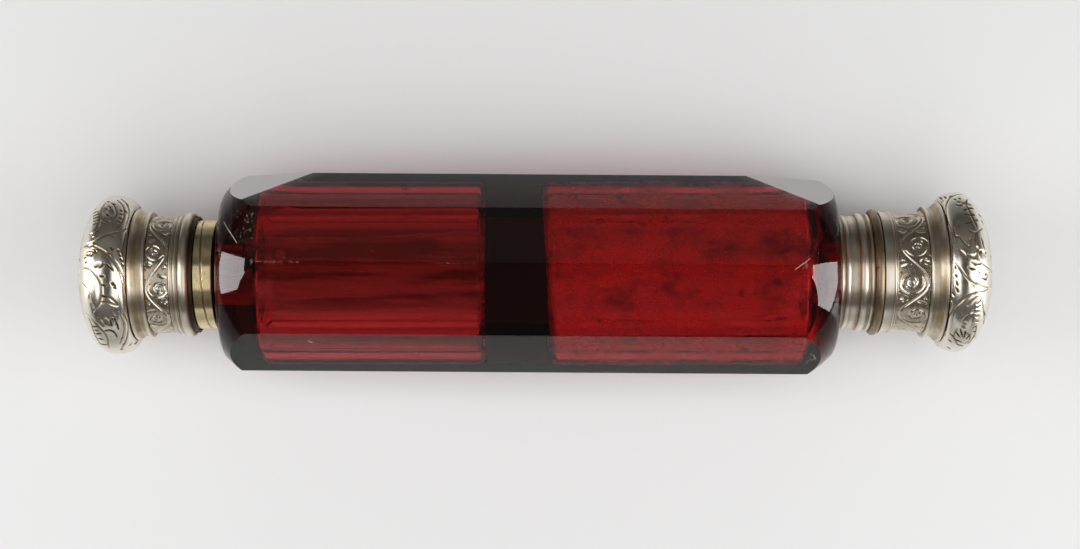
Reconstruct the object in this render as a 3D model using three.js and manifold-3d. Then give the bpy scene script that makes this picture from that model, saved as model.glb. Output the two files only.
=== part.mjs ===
// Double-ended scent bottle: a cut ruby glass body with two chambers, a silver screw cap on the
// left (-X) neck and a hinged silver lid on the right (+X) neck. Millimetres, +Z up.
// The bottle lies along X on its lowest cut facet, and the origin is the middle of that facet.
import * as THREE from 'three';
import { mergeVertices } from 'three/addons/utils/BufferGeometryUtils.js';
import Module from 'manifold-3d';

const wasm = await Module();
wasm.setup();

// Driving dimensions of the glass
const BODY_LENGTH = 86.7; // between the two end planes of the glass, without the necks
const CORNER_RADIUS = 14.2; // from the axis to the long cut edges
const TOP_CORNERS = [-83, -39.3, -5.4, 37.4, 83]; // cut edges, degrees from straight up towards -Y
const LOWER_FACETS = 5; // equal facets between the last and the first of those edges
const FACET_YAW = 0.6; // degrees that the hand-cut facets lie off the axis of the necks
const SHOULDER_ROUND = 15.6; // radius of the domed shoulders, along the axis
const SHOULDER_INSET = 11.05; // from the end plane back to where the dome starts
const SHOULDER_MARGIN = 0.84; // full shoulder radius beyond the cut edges
const SHOULDER_EDGE_ROUND = 2; // rounding between the dome and the end plane
const SHOULDER_SIDE_STRETCH = 1.1; // the shoulders are fuller at the bottle's two sides
const BLANK_OVERLENGTH = 8; // cutting solids run past the glass at each end
const CHAMFER_LENGTH = 12.5; // corner chamfer, along its own long edge from the end plane
const CHAMFER_TOP_LENGTH = 1.3; // the same chamfer where it meets the next edge towards the top
const CHAMFER_DEPTH = 3; // how far down the outer facet it reaches at the end plane
const CHAMBER_RADIUS = 10.3;
const CHAMBER_END_ROUND = 1.6; // rounding at the neck end of each chamber
const CHAMBER_SEPTUM_ROUND = 1.3; // rounding beside the solid glass between the chambers
const SCREW_END_WALL = 4.7; // glass between the end plane and the chamber
const HINGE_END_WALL = 3.6;
const SEPTUM_THICKNESS = 8.4; // solid glass between the two chambers
const SEPTUM_CENTRE = -1.75; // its middle, along X
const NECK_RADIUS = 5.3;
const NECK_BORE_RADIUS = 3.2;
const SCREW_NECK_LENGTH = 8.1;
const HINGE_NECK_LENGTH = 5.2;
const LIP_LENGTH = 0.6; // ring of glass that shows beside the gilt collar
const LIP_RADIUS = 7.2;

// Clearances
const FIT = 0.25; // between one piece and another that it goes round
const SEAM = 0.1; // soldered or seated joint, face to face
const RUNNING = 0.2; // between faces that turn or slide on each other
const COLLAR_GAP = 0.22; // between the glass and a collar

// Cement and threads
const CEMENT_WALL = 0.3;
const CEMENT_RECESS = 0.4; // cement stops short of the collar's ends
const COLLAR_WALL = 0.5;
const THREAD_PITCH = 1.2;
const THREAD_DEPTH = 0.6;
const THREAD_ROOT_HALF_WIDTH = 0.32;
const THREAD_CREST_HALF_WIDTH = 0.12;
const THREAD_TURNS = 2.75;
const THREAD_FADE_TURNS = 0.25; // the ridge rises and dies away over this much of a turn
const THREAD_FADE_HEIGHT = 0.1; // share of the full depth at its two ends
const SLEEVE_WALL = 0.3;

// Screw collar and cap, lengths along the axis
const COLLAR_BAND_LENGTH = 2.68; // plain gilt band that shows below the cap
const COLLAR_BAND_STEP = 0.05; // from the cap's threaded sleeve out to the band
const COLLAR_BAND_ROUND = 0.12;
const COLLAR_THREAD_LENGTH = 4.4;
const CAP_RIM_LENGTH = 1.85; // undercut and bead at the cap's rim
const CAP_UNDERCUT_LENGTH = 0.5;
const CAP_RIM_EDGE = 0.1; // flat width of the rim's edge
const CAP_BEAD_RISE = 0.62; // beyond the cap's drum
const CAP_REED_LENGTH = 1.15; // two fine reeds between bead and drum
const CAP_REED_WIDTH = 0.35;
const CAP_REED_HEIGHT = 0.2;
const CAP_DRUM_LENGTH = 3.2;
const CAP_DRUM_WALL = 0.35;
const CAP_BAND_LENGTH = 2.2; // coved band between drum and crown
const CAP_BAND_WIRE_LENGTH = 0.45;
const CAP_BAND_WIRE_HEIGHT = 0.2;
const CAP_BAND_STEP = 0.7; // from the drum out to the wire at the band's edge
const CAP_BAND_FLARE = 0.35; // how much wider the band is where it meets the crown
const CAP_CROWN_STEP = 0.25; // from the band's wide edge out to the crown's edge
const CAP_CROWN_RISE = 1.7; // from the crown's edge out to its widest ring
const CAP_CROWN_BACK = 2.95; // from the crown's edge to its widest ring
const CAP_CROWN_FRONT = 4.95; // from the widest ring to the tip
const CORK_THICKNESS = 2;
const CORK_RADIUS = 6.45;
const CORK_LIFT = 0.25; // cork face above the ground mouth of the neck
const PAN_WALL = 0.4;
const PAN_SKIRT_GAP = 0.55; // how far the pan's skirt stops short of the cork's face

// Hinge collar and lid, lengths along the axis
const HINGE_LEDGE = 0.55; // from the seat ring out to the collar's band
const HINGE_GROOVE_LENGTH = 0.65;
const HINGE_GROOVE_DEPTH = 0.55; // this and the next sizes sink or rise from the band
const HINGE_BEAD_LENGTH = 0.75;
const HINGE_BEAD_RISE = 0.18;
const HINGE_BAND_LENGTH = 1.35;
const HINGE_BAND_FLARE = 0.45;
const HINGE_TORUS_LENGTH = 1.1;
const HINGE_TORUS_RISE = 0.62;
const HINGE_SEAT_LENGTH = 0.82;
const HINGE_SEAT_RISE = 0.4;
const BEZEL_RADIUS = 7.55; // ring that stands up inside the closed lid
const BEZEL_WALL = 0.35;
const BEZEL_HEIGHT = 1.4;
const LID_ROLL_LENGTH = 1.16;
const LID_ROLL_OVERHANG = 0.5; // the rolled rim beyond the collar's seat
const LID_FLANGE_LENGTH = 1.8;
const LID_FLANGE_STEP = 0.26; // down from the rolled rim to the flange band
const LID_FLANGE_TAPER = 0.2;
const LID_WIRE_LENGTH = 0.45; // fine wire at the end of the flange band
const LID_WIRE_HEIGHT = 0.2;
const LID_DRUM_LENGTH = 4.3;
const LID_DRUM_WALL = 0.4;
const LID_DRUM_FLARE = 0.5; // how much wider the drum is at its crown end
const LID_BAND_LENGTH = 2.35;
const LID_BAND_WIRE_LENGTH = 0.45;
const LID_BAND_WIRE_HEIGHT = 0.2;
const LID_BAND_STEP = 1.2;
const LID_BAND_FLARE = 0.6;
const LID_CROWN_STEP = 0.15;
const LID_CROWN_RISE = 1.25;
const LID_CROWN_BACK = 2.35;
const LID_CROWN_FRONT = 4.8;
const LINER_WALL = 0.3;
const LINER_STRAIGHT_LENGTH = 8;
const LINER_DOME_LENGTH = 2.6;
const CROWN_WALL = 0.5; // thickness of both crowns
const FLARE_AT_MIDDLE = 0.25; // share of a band's or drum's flare that is reached halfway along

// Hinge
const KNUCKLE_RADIUS = 1.0;
const PIN_RADIUS = 0.4;
const PIN_OVERHANG = 0.15; // pin end beyond the outer knuckles
const LID_KNUCKLE_WIDTH = 2.2;
const ARM_WIDTH = 2.2; // each of the two knuckles on the collar
const LEAF_THICKNESS = 0.9;
const LEAF_LENGTH = 1.9; // each leaf, along the bottle
const LEAF_STEP = 0.5; // from the pin to where a leaf rises, as a share of the knuckle's radius

// Stopper
const STOPPER_PLUG_LENGTH = 5.2;
const STOPPER_TAPER = 0.3; // radius lost over the plug
const STOPPER_THROAT_LENGTH = 0.7;
const STOPPER_THROAT_RADIUS = 2.5;
const STOPPER_HEAD_RADIUS = 4.5;
const STOPPER_HEAD_LENGTH = 2.0;
const STOPPER_HEAD_ROUND = 0.6;

// Fineness of the round pieces
const SEGMENTS = 32;
const INNER_SEGMENTS = 28;
const PIN_SEGMENTS = 16;
const KNUCKLE_STEPS = 5; // in each quarter of a knuckle
const SEGMENTS_PER_THREAD_TURN = 20;
const MERGE_DISTANCE = 1e-5;

const LEFT = -1;
const RIGHT = 1;
const degrees = THREE.MathUtils.degToRad;

// Sizes that follow from the driving ones
const lowerSpan = 360 - TOP_CORNERS.at(-1) + TOP_CORNERS[0];
const lowerStep = lowerSpan / LOWER_FACETS;
const lowerSteps = Array.from({ length: LOWER_FACETS - 1 }, (_, i) => i + 1);
const lowerCorners = lowerSteps.map((step) => TOP_CORNERS.at(-1) + lowerStep * step);
const cornerAngles = [...TOP_CORNERS, ...lowerCorners];
const axisHeight = CORNER_RADIUS * Math.cos(degrees(lowerStep / 2));
const halfBody = BODY_LENGTH / 2;
const shoulderRadius = CORNER_RADIUS + SHOULDER_MARGIN;
const cementBore = NECK_RADIUS + FIT;
const collarBore = cementBore + CEMENT_WALL + FIT;
const threadCore = collarBore + COLLAR_WALL;
const threadCrest = threadCore + THREAD_DEPTH;
const sleeveBore = threadCrest + RUNNING;
const sleeveRadius = sleeveBore + SLEEVE_WALL;
const collarBandRadius = sleeveRadius + COLLAR_BAND_STEP;
const capBore = sleeveRadius + FIT;
const capDrumRadius = capBore + CAP_DRUM_WALL;
const capBandRadius = capDrumRadius + CAP_BAND_STEP;
const capCrownNeck = capBandRadius + CAP_BAND_FLARE + CAP_CROWN_STEP;
const lidBore = BEZEL_RADIUS + FIT;
const linerRadius = BEZEL_RADIUS;
const linerBore = linerRadius - LINER_WALL;
const lidDrumRadius = lidBore + LID_DRUM_WALL;
const hingeBandRadius = BEZEL_RADIUS + HINGE_LEDGE;
const hingeGrooveRadius = hingeBandRadius - HINGE_GROOVE_DEPTH;
const hingeBeadRadius = hingeBandRadius + HINGE_BEAD_RISE;
const hingeTorusRadius = hingeBandRadius + HINGE_TORUS_RISE;
const hingeSeatRadius = hingeBandRadius + HINGE_SEAT_RISE;
const lidRollRadius = hingeSeatRadius + LID_ROLL_OVERHANG;
const lidFlangeRadius = lidRollRadius - LID_FLANGE_STEP;
const lidBandRadius = lidDrumRadius + LID_BAND_STEP;
const lidCrownNeck = lidBandRadius + LID_BAND_FLARE + LID_CROWN_STEP;

// Stations along each end, measured outwards from the glass end plane
const collarStart = LIP_LENGTH + COLLAR_GAP;
const collarBandEnd = collarStart + COLLAR_BAND_LENGTH;
const collarEnd = collarBandEnd + COLLAR_THREAD_LENGTH;
const capStart = collarBandEnd + SEAM;
const capReedStart = capStart + CAP_RIM_LENGTH + SEAM;
const capDrumStart = capReedStart + CAP_REED_LENGTH + SEAM;
const capBandStart = capDrumStart + CAP_DRUM_LENGTH + SEAM;
const capCrownStart = capBandStart + CAP_BAND_LENGTH + SEAM;
const sleeveStart = collarBandEnd + FIT;
const corkStart = SCREW_NECK_LENGTH + CORK_LIFT;
const panFloor = corkStart + CORK_THICKNESS + FIT;
const sleeveEnd = panFloor + PAN_WALL;
const hingeStart = COLLAR_GAP;
const hingeBeadStart = hingeStart + HINGE_GROOVE_LENGTH;
const hingeBandStart = hingeBeadStart + HINGE_BEAD_LENGTH;
const hingeTorusStart = hingeBandStart + HINGE_BAND_LENGTH;
const hingeSeatStart = hingeTorusStart + HINGE_TORUS_LENGTH;
const hingeEnd = hingeSeatStart + HINGE_SEAT_LENGTH;
const lidStart = hingeEnd + SEAM;
const lidFlangeStart = lidStart + LID_ROLL_LENGTH + SEAM;
const lidDrumStart = lidFlangeStart + LID_FLANGE_LENGTH + SEAM;
const lidBandStart = lidDrumStart + LID_DRUM_LENGTH + SEAM;
const lidCrownStart = lidBandStart + LID_BAND_LENGTH + SEAM;
const bezelEnd = lidStart + BEZEL_HEIGHT;
const linerStart = bezelEnd + FIT;
const hingeAxisDrop = lidRollRadius + FIT + KNUCKLE_RADIUS; // hinge pin below the bottle's axis
const hingeAxisX = halfBody + hingeEnd + SEAM / 2;
const knuckleGap = LID_KNUCKLE_WIDTH + 2 * RUNNING;
const collarLeafWidth = knuckleGap + 2 * ARM_WIDTH;

// Solids

function closed(geometry) {
  geometry.deleteAttribute('normal');
  geometry.deleteAttribute('uv');
  const merged = mergeVertices(geometry, MERGE_DISTANCE);
  const corners = merged.index.array;
  const kept = [];
  for (let i = 0; i < corners.length; i += 3) {
    const [a, b, c] = [corners[i], corners[i + 1], corners[i + 2]];
    if (a !== b && b !== c && c !== a) kept.push(a, b, c);
  }
  merged.setIndex(kept);
  return merged;
}

function solid(geometry) {
  const merged = closed(geometry);
  const mesh = new wasm.Mesh({
    numProp: 3,
    vertProperties: new Float32Array(merged.attributes.position.array),
    triVerts: new Uint32Array(merged.index.array),
  });
  return new wasm.Manifold(mesh);
}

function geometryOf(manifold) {
  const mesh = manifold.getMesh();
  const geometry = new THREE.BufferGeometry();
  const positions = new Float32Array(mesh.vertProperties);
  const corners = new Uint32Array(mesh.triVerts);
  geometry.setAttribute('position', new THREE.BufferAttribute(positions, 3));
  geometry.setIndex(new THREE.BufferAttribute(corners, 1));
  return geometry;
}

// A ring or bowl turned about X. The profile is a loop of [x, radius] points, or one that starts
// and ends on the axis.
function turned(profile, segments = SEGMENTS) {
  const loop = [...profile, profile[0]];
  const steps = profile.map(([x, r], i) => r * loop[i + 1][0] - loop[i + 1][1] * x);
  const signedArea = steps.reduce((sum, step) => sum + step, 0);
  const points = profile.map(([x, r]) => new THREE.Vector2(r, x));
  if (profile[0][1] > 0) points.push(points[0].clone());
  if (signedArea < 0) points.reverse();
  const geometry = new THREE.LatheGeometry(points, segments);
  geometry.rotateZ(-Math.PI / 2);
  return solid(geometry);
}

// The same at one end of the bottle, with stations counted outwards from the glass end plane
function turnedAt(side, profile, segments = SEGMENTS) {
  return turned(profile.map(([station, r]) => [side * (halfBody + station), r]), segments);
}

function ring(side, from, to, inner, outer, segments = INNER_SEGMENTS) {
  return turnedAt(side, [[from, inner], [from, outer], [to, outer], [to, inner]], segments);
}

function rod(side, from, to, radius, segments = INNER_SEGMENTS) {
  return turnedAt(side, [[from, 0], [from, radius], [to, radius], [to, 0]], segments);
}

// Part of an ellipse round [x, r], from one angle to another, where 0 points along +x
function arc(x, r, halfLength, height, from, to, steps) {
  return Array.from({ length: steps + 1 }, (_, i) => {
    const angle = degrees(from + ((to - from) * i) / steps);
    return [x + halfLength * Math.cos(angle), r + height * Math.sin(angle)];
  });
}

// A half-round bead from one station to the next, rising to its radius
function bead(from, to, base, radius, steps = 4) {
  return arc((from + to) / 2, base, (from - to) / 2, radius - base, 0, 180, steps);
}

// A bar of trapezium section bent round the axis into a right-hand helix. One side of the bar
// lies in the wall that carries it, and its ends die away into that wall.
function helicalRidge(start, turns, wallRadius, tipRadius) {
  const steps = Math.ceil(turns * SEGMENTS_PER_THREAD_TURN);
  const bar = new THREE.BoxGeometry(1, 1, 1, steps, 1, 1);
  const position = bar.attributes.position;
  const buried = Math.sign(tipRadius - wallRadius) * SEAM;
  for (let i = 0; i < position.count; i += 1) {
    const along = position.getX(i) + 0.5;
    const outward = position.getZ(i) > 0 === tipRadius > wallRadius;
    const turnsFromEnd = turns * Math.min(along, 1 - along);
    const rise = Math.min(1, Math.max(turnsFromEnd / THREAD_FADE_TURNS, THREAD_FADE_HEIGHT));
    const tip = wallRadius + (tipRadius - wallRadius) * rise;
    const radius = outward ? tip : wallRadius - buried;
    const halfWidth = outward ? THREAD_CREST_HALF_WIDTH : THREAD_ROOT_HALF_WIDTH;
    const angle = along * turns * 2 * Math.PI;
    const x = start + THREAD_PITCH * turns * along + Math.sign(position.getY(i)) * halfWidth;
    position.setXYZ(i, x, -radius * Math.sin(angle), radius * Math.cos(angle));
  }
  return solid(bar);
}

// Glass body

function edgePoint(angle, x) {
  const turn = degrees(angle);
  return new THREE.Vector3(x, -CORNER_RADIUS * Math.sin(turn), CORNER_RADIUS * Math.cos(turn));
}

function facetPrism() {
  const outline = cornerAngles.map((angle) => {
    const corner = edgePoint(angle, 0);
    return new THREE.Vector2(corner.y, corner.z);
  });
  const length = BODY_LENGTH + 2 * BLANK_OVERLENGTH;
  const section = new THREE.Shape(outline);
  const prism = new THREE.ExtrudeGeometry(section, { depth: length, bevelEnabled: false });
  prism.translate(0, 0, -length / 2);
  const acrossUpAlong = new THREE.Matrix4().makeBasis(
    new THREE.Vector3(0, 1, 0),
    new THREE.Vector3(0, 0, 1),
    new THREE.Vector3(1, 0, 0),
  );
  prism.applyMatrix4(acrossUpAlong);
  prism.rotateZ(degrees(-FACET_YAW));
  return solid(prism);
}

// The flat cut across the end of the first long edge, as the block that it takes away
function cornerCut(side) {
  const tip = edgePoint(cornerAngles[0], side * (halfBody - CHAMFER_LENGTH));
  const toTop = edgePoint(cornerAngles[1], side * (halfBody - CHAMFER_TOP_LENGTH)).sub(tip);
  const endCorner = edgePoint(cornerAngles[0], side * halfBody);
  const down = edgePoint(cornerAngles.at(-1), side * halfBody).sub(endCorner);
  const toDepth = down.setLength(CHAMFER_DEPTH).add(endCorner).sub(tip);
  const normal = toTop.cross(toDepth).normalize();
  if (normal.dot(tip) < 0) normal.negate();
  const size = 2 * (CORNER_RADIUS + BODY_LENGTH);
  const block = new THREE.BoxGeometry(size, size, size);
  block.translate(0, 0, size / 2);
  const up = new THREE.Vector3(0, 0, 1);
  block.applyQuaternion(new THREE.Quaternion().setFromUnitVectors(up, normal));
  block.translate(tip.x, tip.y, tip.z);
  block.rotateZ(degrees(-FACET_YAW));
  return solid(block);
}

// The turned bar that the facets are cut on: a dome at each end, and a smaller rounding, tangent
// to the dome, that runs into the end plane
function turnedBlank() {
  const dome = SHOULDER_ROUND;
  const edge = SHOULDER_EDGE_ROUND;
  const reach = (SHOULDER_INSET - edge) / (1 - edge / dome);
  const meeting = Math.acos(reach / dome);
  const toMeeting = THREE.MathUtils.radToDeg(meeting);
  const domeX = halfBody - SHOULDER_INSET;
  const domeRadius = shoulderRadius - dome;
  const edgeRadius = domeRadius + (dome - edge) * Math.sin(meeting);
  const right = [
    ...arc(domeX, domeRadius, dome, dome, 90, toMeeting, 8),
    ...arc(halfBody - edge, edgeRadius, edge, edge, toMeeting, 0, 3).slice(1),
  ];
  const left = right.map(([x, r]) => [-x, r]).reverse();
  const blank = turned([[-halfBody, 0], ...left, ...right, [halfBody, 0]], SEGMENTS);
  return blank.scale([1, SHOULDER_SIDE_STRETCH, 1]);
}

function chamber(side, end, septumFace) {
  const endX = end - side * CHAMBER_END_ROUND;
  const endRise = CHAMBER_RADIUS - NECK_BORE_RADIUS;
  const endRound = arc(endX, NECK_BORE_RADIUS, side * CHAMBER_END_ROUND, endRise, 0, 90, 6);
  const round = CHAMBER_SEPTUM_ROUND;
  const septumX = septumFace + side * round;
  const septumRound = arc(septumX, CHAMBER_RADIUS - round, -side * round, round, 90, 0, 5);
  return turned([[end, 0], ...endRound, ...septumRound, [septumFace, 0]], INNER_SEGMENTS);
}

function glassBody() {
  const septumHalf = SEPTUM_THICKNESS / 2;
  const screwMouth = SCREW_NECK_LENGTH + BLANK_OVERLENGTH;
  const hingeMouth = HINGE_NECK_LENGTH + BLANK_OVERLENGTH;
  return turnedBlank()
    .intersect(facetPrism())
    .subtract(cornerCut(LEFT))
    .subtract(cornerCut(RIGHT))
    .add(rod(LEFT, -SCREW_END_WALL, SCREW_NECK_LENGTH, NECK_RADIUS))
    .add(rod(RIGHT, -HINGE_END_WALL, HINGE_NECK_LENGTH, NECK_RADIUS))
    .add(rod(LEFT, -LIP_LENGTH, LIP_LENGTH, LIP_RADIUS, SEGMENTS))
    .subtract(chamber(LEFT, -halfBody + SCREW_END_WALL, SEPTUM_CENTRE - septumHalf))
    .subtract(chamber(RIGHT, halfBody - HINGE_END_WALL, SEPTUM_CENTRE + septumHalf))
    .subtract(rod(LEFT, -SCREW_END_WALL - CHAMBER_END_ROUND, screwMouth, NECK_BORE_RADIUS))
    .subtract(rod(RIGHT, -HINGE_END_WALL - CHAMBER_END_ROUND, hingeMouth, NECK_BORE_RADIUS));
}

// Screw end

function neckCement(side, start, end) {
  return ring(side, start + CEMENT_RECESS, end - CEMENT_RECESS, cementBore, cementBore + CEMENT_WALL);
}

function screwCollar() {
  const r = COLLAR_BAND_ROUND;
  const body = turnedAt(LEFT, [
    [collarStart, collarBore],
    [collarStart, collarBandRadius - r],
    [collarStart + r, collarBandRadius],
    [collarBandEnd - r, collarBandRadius],
    [collarBandEnd, collarBandRadius - r],
    [collarBandEnd, threadCore],
    [collarEnd, threadCore],
    [collarEnd, collarBore],
  ]);
  return body.add(helicalRidge(threadStart(), THREAD_TURNS, threadCore, threadCrest));
}

// Where the collar's thread starts: its turns lie midway along the threaded length
function threadStart() {
  const middle = (collarBandEnd + collarEnd) / 2;
  return -halfBody - middle - (THREAD_PITCH * THREAD_TURNS) / 2;
}

function threadedSleeve() {
  const tube = ring(LEFT, sleeveStart, sleeveEnd, sleeveBore, sleeveRadius, SEGMENTS);
  const ridgeStart = threadStart() - THREAD_PITCH / 2;
  return tube.add(helicalRidge(ridgeStart, THREAD_TURNS, sleeveBore, threadCore + RUNNING));
}

function corkSeal() {
  return rod(LEFT, corkStart, corkStart + CORK_THICKNESS, CORK_RADIUS);
}

function corkPan() {
  const inner = CORK_RADIUS + FIT;
  const outer = sleeveBore - FIT;
  const skirt = corkStart + PAN_SKIRT_GAP;
  return turnedAt(LEFT, [
    [panFloor, 0],
    [panFloor, inner],
    [skirt, inner],
    [skirt, outer],
    [sleeveEnd, outer],
    [sleeveEnd, 0],
  ], INNER_SEGMENTS);
}

function capRimBead() {
  const undercutEnd = capStart + CAP_UNDERCUT_LENGTH;
  const end = capStart + CAP_RIM_LENGTH;
  return turnedAt(LEFT, [
    [capStart, capBore],
    [capStart, capBore + CAP_RIM_EDGE],
    ...bead(undercutEnd, end, capDrumRadius, capDrumRadius + CAP_BEAD_RISE, 6),
    [end, capBore],
  ]);
}

function capReedRing() {
  const end = capReedStart + CAP_REED_LENGTH;
  const top = capDrumRadius + CAP_REED_HEIGHT;
  return turnedAt(LEFT, [
    [capReedStart, capBore],
    ...bead(capReedStart, capReedStart + CAP_REED_WIDTH, capDrumRadius, top, 2),
    ...bead(end - CAP_REED_WIDTH, end, capDrumRadius, top, 2),
    [end, capBore],
  ]);
}

function capDrum() {
  return ring(LEFT, capDrumStart, capDrumStart + CAP_DRUM_LENGTH, capBore, capDrumRadius, SEGMENTS);
}

// A coved band with a round wire at its start, widening towards the crown
function shoulderBand(side, start, end, wire, radius, flare, bore) {
  const wireEnd = start + wire.length;
  const base = radius - wire.height;
  return turnedAt(side, [
    [start, bore],
    ...bead(start, wireEnd, base, radius, 4),
    [(wireEnd + end) / 2, base + flare * FLARE_AT_MIDDLE],
    [end, radius + flare],
    [end, bore],
  ]);
}

// A bun-shaped crown: an elliptical front, widest ring, and a back that draws in to the band
function crown(side, start, back, front, radius, neckRadius) {
  const widest = start + back;
  const outer = [
    ...arc(widest, neckRadius, back, radius - neckRadius, 180, 90, 4),
    ...arc(widest, 0, front, radius, 90, 0, 7).slice(1),
  ];
  const inner = [
    ...arc(widest, 0, front - CROWN_WALL, radius - CROWN_WALL, 0, 90, 5),
    ...arc(widest, neckRadius - CROWN_WALL, back, radius - neckRadius, 90, 180, 2).slice(1),
  ];
  return turnedAt(side, [...inner, ...outer]);
}

function capShoulderBand() {
  const wire = { length: CAP_BAND_WIRE_LENGTH, height: CAP_BAND_WIRE_HEIGHT };
  const end = capBandStart + CAP_BAND_LENGTH;
  return shoulderBand(LEFT, capBandStart, end, wire, capBandRadius, CAP_BAND_FLARE, capBore);
}

function capCrown() {
  const radius = capCrownNeck + CAP_CROWN_RISE;
  return crown(LEFT, capCrownStart, CAP_CROWN_BACK, CAP_CROWN_FRONT, radius, capCrownNeck);
}

// Hinge end

function hingeCollar() {
  const base = hingeBandRadius;
  return turnedAt(RIGHT, [
    [hingeStart, collarBore],
    [hingeStart, hingeGrooveRadius],
    [hingeBeadStart, hingeGrooveRadius],
    ...bead(hingeBeadStart, hingeBandStart, hingeGrooveRadius, hingeBeadRadius),
    [hingeBandStart, base],
    [hingeTorusStart, base + HINGE_BAND_FLARE],
    [hingeTorusStart, base],
    ...bead(hingeTorusStart, hingeSeatStart, base, hingeTorusRadius).slice(1),
    ...bead(hingeSeatStart, hingeEnd, base, hingeSeatRadius).slice(1),
    [hingeEnd, collarBore],
  ]);
}

function lidSeatBezel() {
  return ring(RIGHT, lidStart, bezelEnd, BEZEL_RADIUS - BEZEL_WALL, BEZEL_RADIUS, SEGMENTS);
}

function lidRimRoll() {
  const end = lidStart + LID_ROLL_LENGTH;
  return turnedAt(RIGHT, [
    [lidStart, lidBore],
    ...bead(lidStart, end, hingeSeatRadius, lidRollRadius, 6),
    [end, lidBore],
  ]);
}

function lidFlange() {
  const end = lidFlangeStart + LID_FLANGE_LENGTH;
  const taperEnd = lidFlangeRadius - LID_FLANGE_TAPER;
  return turnedAt(RIGHT, [
    [lidFlangeStart, lidBore],
    [lidFlangeStart, lidFlangeRadius],
    ...bead(end - LID_WIRE_LENGTH, end, taperEnd, taperEnd + LID_WIRE_HEIGHT),
    [end, lidBore],
  ]);
}

function lidDrum() {
  const end = lidDrumStart + LID_DRUM_LENGTH;
  const middle = (lidDrumStart + end) / 2;
  return turnedAt(RIGHT, [
    [lidDrumStart, lidBore],
    [lidDrumStart, lidDrumRadius],
    [middle, lidDrumRadius + LID_DRUM_FLARE * FLARE_AT_MIDDLE],
    [end, lidDrumRadius + LID_DRUM_FLARE],
    [end, lidBore],
  ]);
}

function lidShoulderBand() {
  const wire = { length: LID_BAND_WIRE_LENGTH, height: LID_BAND_WIRE_HEIGHT };
  const end = lidBandStart + LID_BAND_LENGTH;
  return shoulderBand(RIGHT, lidBandStart, end, wire, lidBandRadius, LID_BAND_FLARE, lidBore);
}

function lidCrown() {
  const radius = lidCrownNeck + LID_CROWN_RISE;
  return crown(RIGHT, lidCrownStart, LID_CROWN_BACK, LID_CROWN_FRONT, radius, lidCrownNeck);
}

function lidLiner() {
  const straightEnd = linerStart + LINER_STRAIGHT_LENGTH;
  return turnedAt(RIGHT, [
    ...arc(straightEnd, 0, LINER_DOME_LENGTH, linerRadius, 0, 90, 4),
    [linerStart, linerRadius],
    [linerStart, linerBore],
    ...arc(straightEnd, 0, LINER_DOME_LENGTH - LINER_WALL, linerBore, 90, 0, 4),
  ], INNER_SEGMENTS);
}

// Hinge under the seam between collar and lid, its pin along Y. Each leaf is an outline in the
// plane of X and Z, extruded across the bottle.

function acrossBottle(shape, width) {
  const options = { depth: width, bevelEnabled: false, curveSegments: 2 * KNUCKLE_STEPS };
  const geometry = new THREE.ExtrudeGeometry(shape, options);
  geometry.translate(0, 0, -width / 2);
  geometry.rotateX(Math.PI / 2);
  return solid(geometry);
}

// A knuckle with a leaf that runs from the pin along the bottle, up to the metal that carries it
function knuckleWithLeaf(side, width) {
  const stepX = side * KNUCKLE_RADIUS * LEAF_STEP;
  const reachX = side * (KNUCKLE_RADIUS + LEAF_LENGTH);
  const leafTop = 2 * KNUCKLE_RADIUS;
  const leaf = new THREE.Shape();
  leaf.moveTo(0, -KNUCKLE_RADIUS);
  leaf.absarc(0, 0, KNUCKLE_RADIUS, -Math.PI / 2, -Math.PI * 1.5, side > 0);
  leaf.lineTo(stepX, KNUCKLE_RADIUS);
  leaf.lineTo(stepX, leafTop);
  leaf.lineTo(reachX, leafTop);
  leaf.lineTo(reachX, KNUCKLE_RADIUS - LEAF_THICKNESS);
  leaf.closePath();
  return acrossBottle(leaf, width);
}

function pinHole() {
  return pinRod(PIN_RADIUS + RUNNING, 2 * collarLeafWidth);
}

function pinRod(radius, length) {
  return solid(new THREE.CylinderGeometry(radius, radius, length, PIN_SEGMENTS));
}

function atHinge(manifold) {
  return manifold.translate([hingeAxisX, 0, -hingeAxisDrop]);
}

function clearOf(from, to, radius) {
  return rod(RIGHT, from, to, radius, SEGMENTS);
}

// The space round the pin that the lid's knuckle turns in
function knuckleNotch() {
  const reach = KNUCKLE_RADIUS + RUNNING;
  const notch = new THREE.Shape();
  notch.moveTo(-reach, -reach);
  notch.lineTo(2 * reach, -reach);
  notch.lineTo(2 * reach, 3 * reach);
  notch.lineTo(-reach, 3 * reach);
  notch.closePath();
  return acrossBottle(notch, knuckleGap);
}

function collarHingeLeaf() {
  const leaf = knuckleWithLeaf(LEFT, collarLeafWidth).subtract(knuckleNotch()).subtract(pinHole());
  return atHinge(leaf)
    .subtract(clearOf(0, lidStart, hingeTorusRadius + FIT))
    .subtract(clearOf(hingeEnd, lidDrumStart, lidRollRadius + FIT));
}

function lidHingeLeaf() {
  const leaf = knuckleWithLeaf(RIGHT, LID_KNUCKLE_WIDTH).subtract(pinHole());
  return atHinge(leaf).subtract(clearOf(0, lidDrumStart, lidRollRadius + FIT));
}

function hingePin() {
  return atHinge(pinRod(PIN_RADIUS, collarLeafWidth + 2 * PIN_OVERHANG));
}

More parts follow.
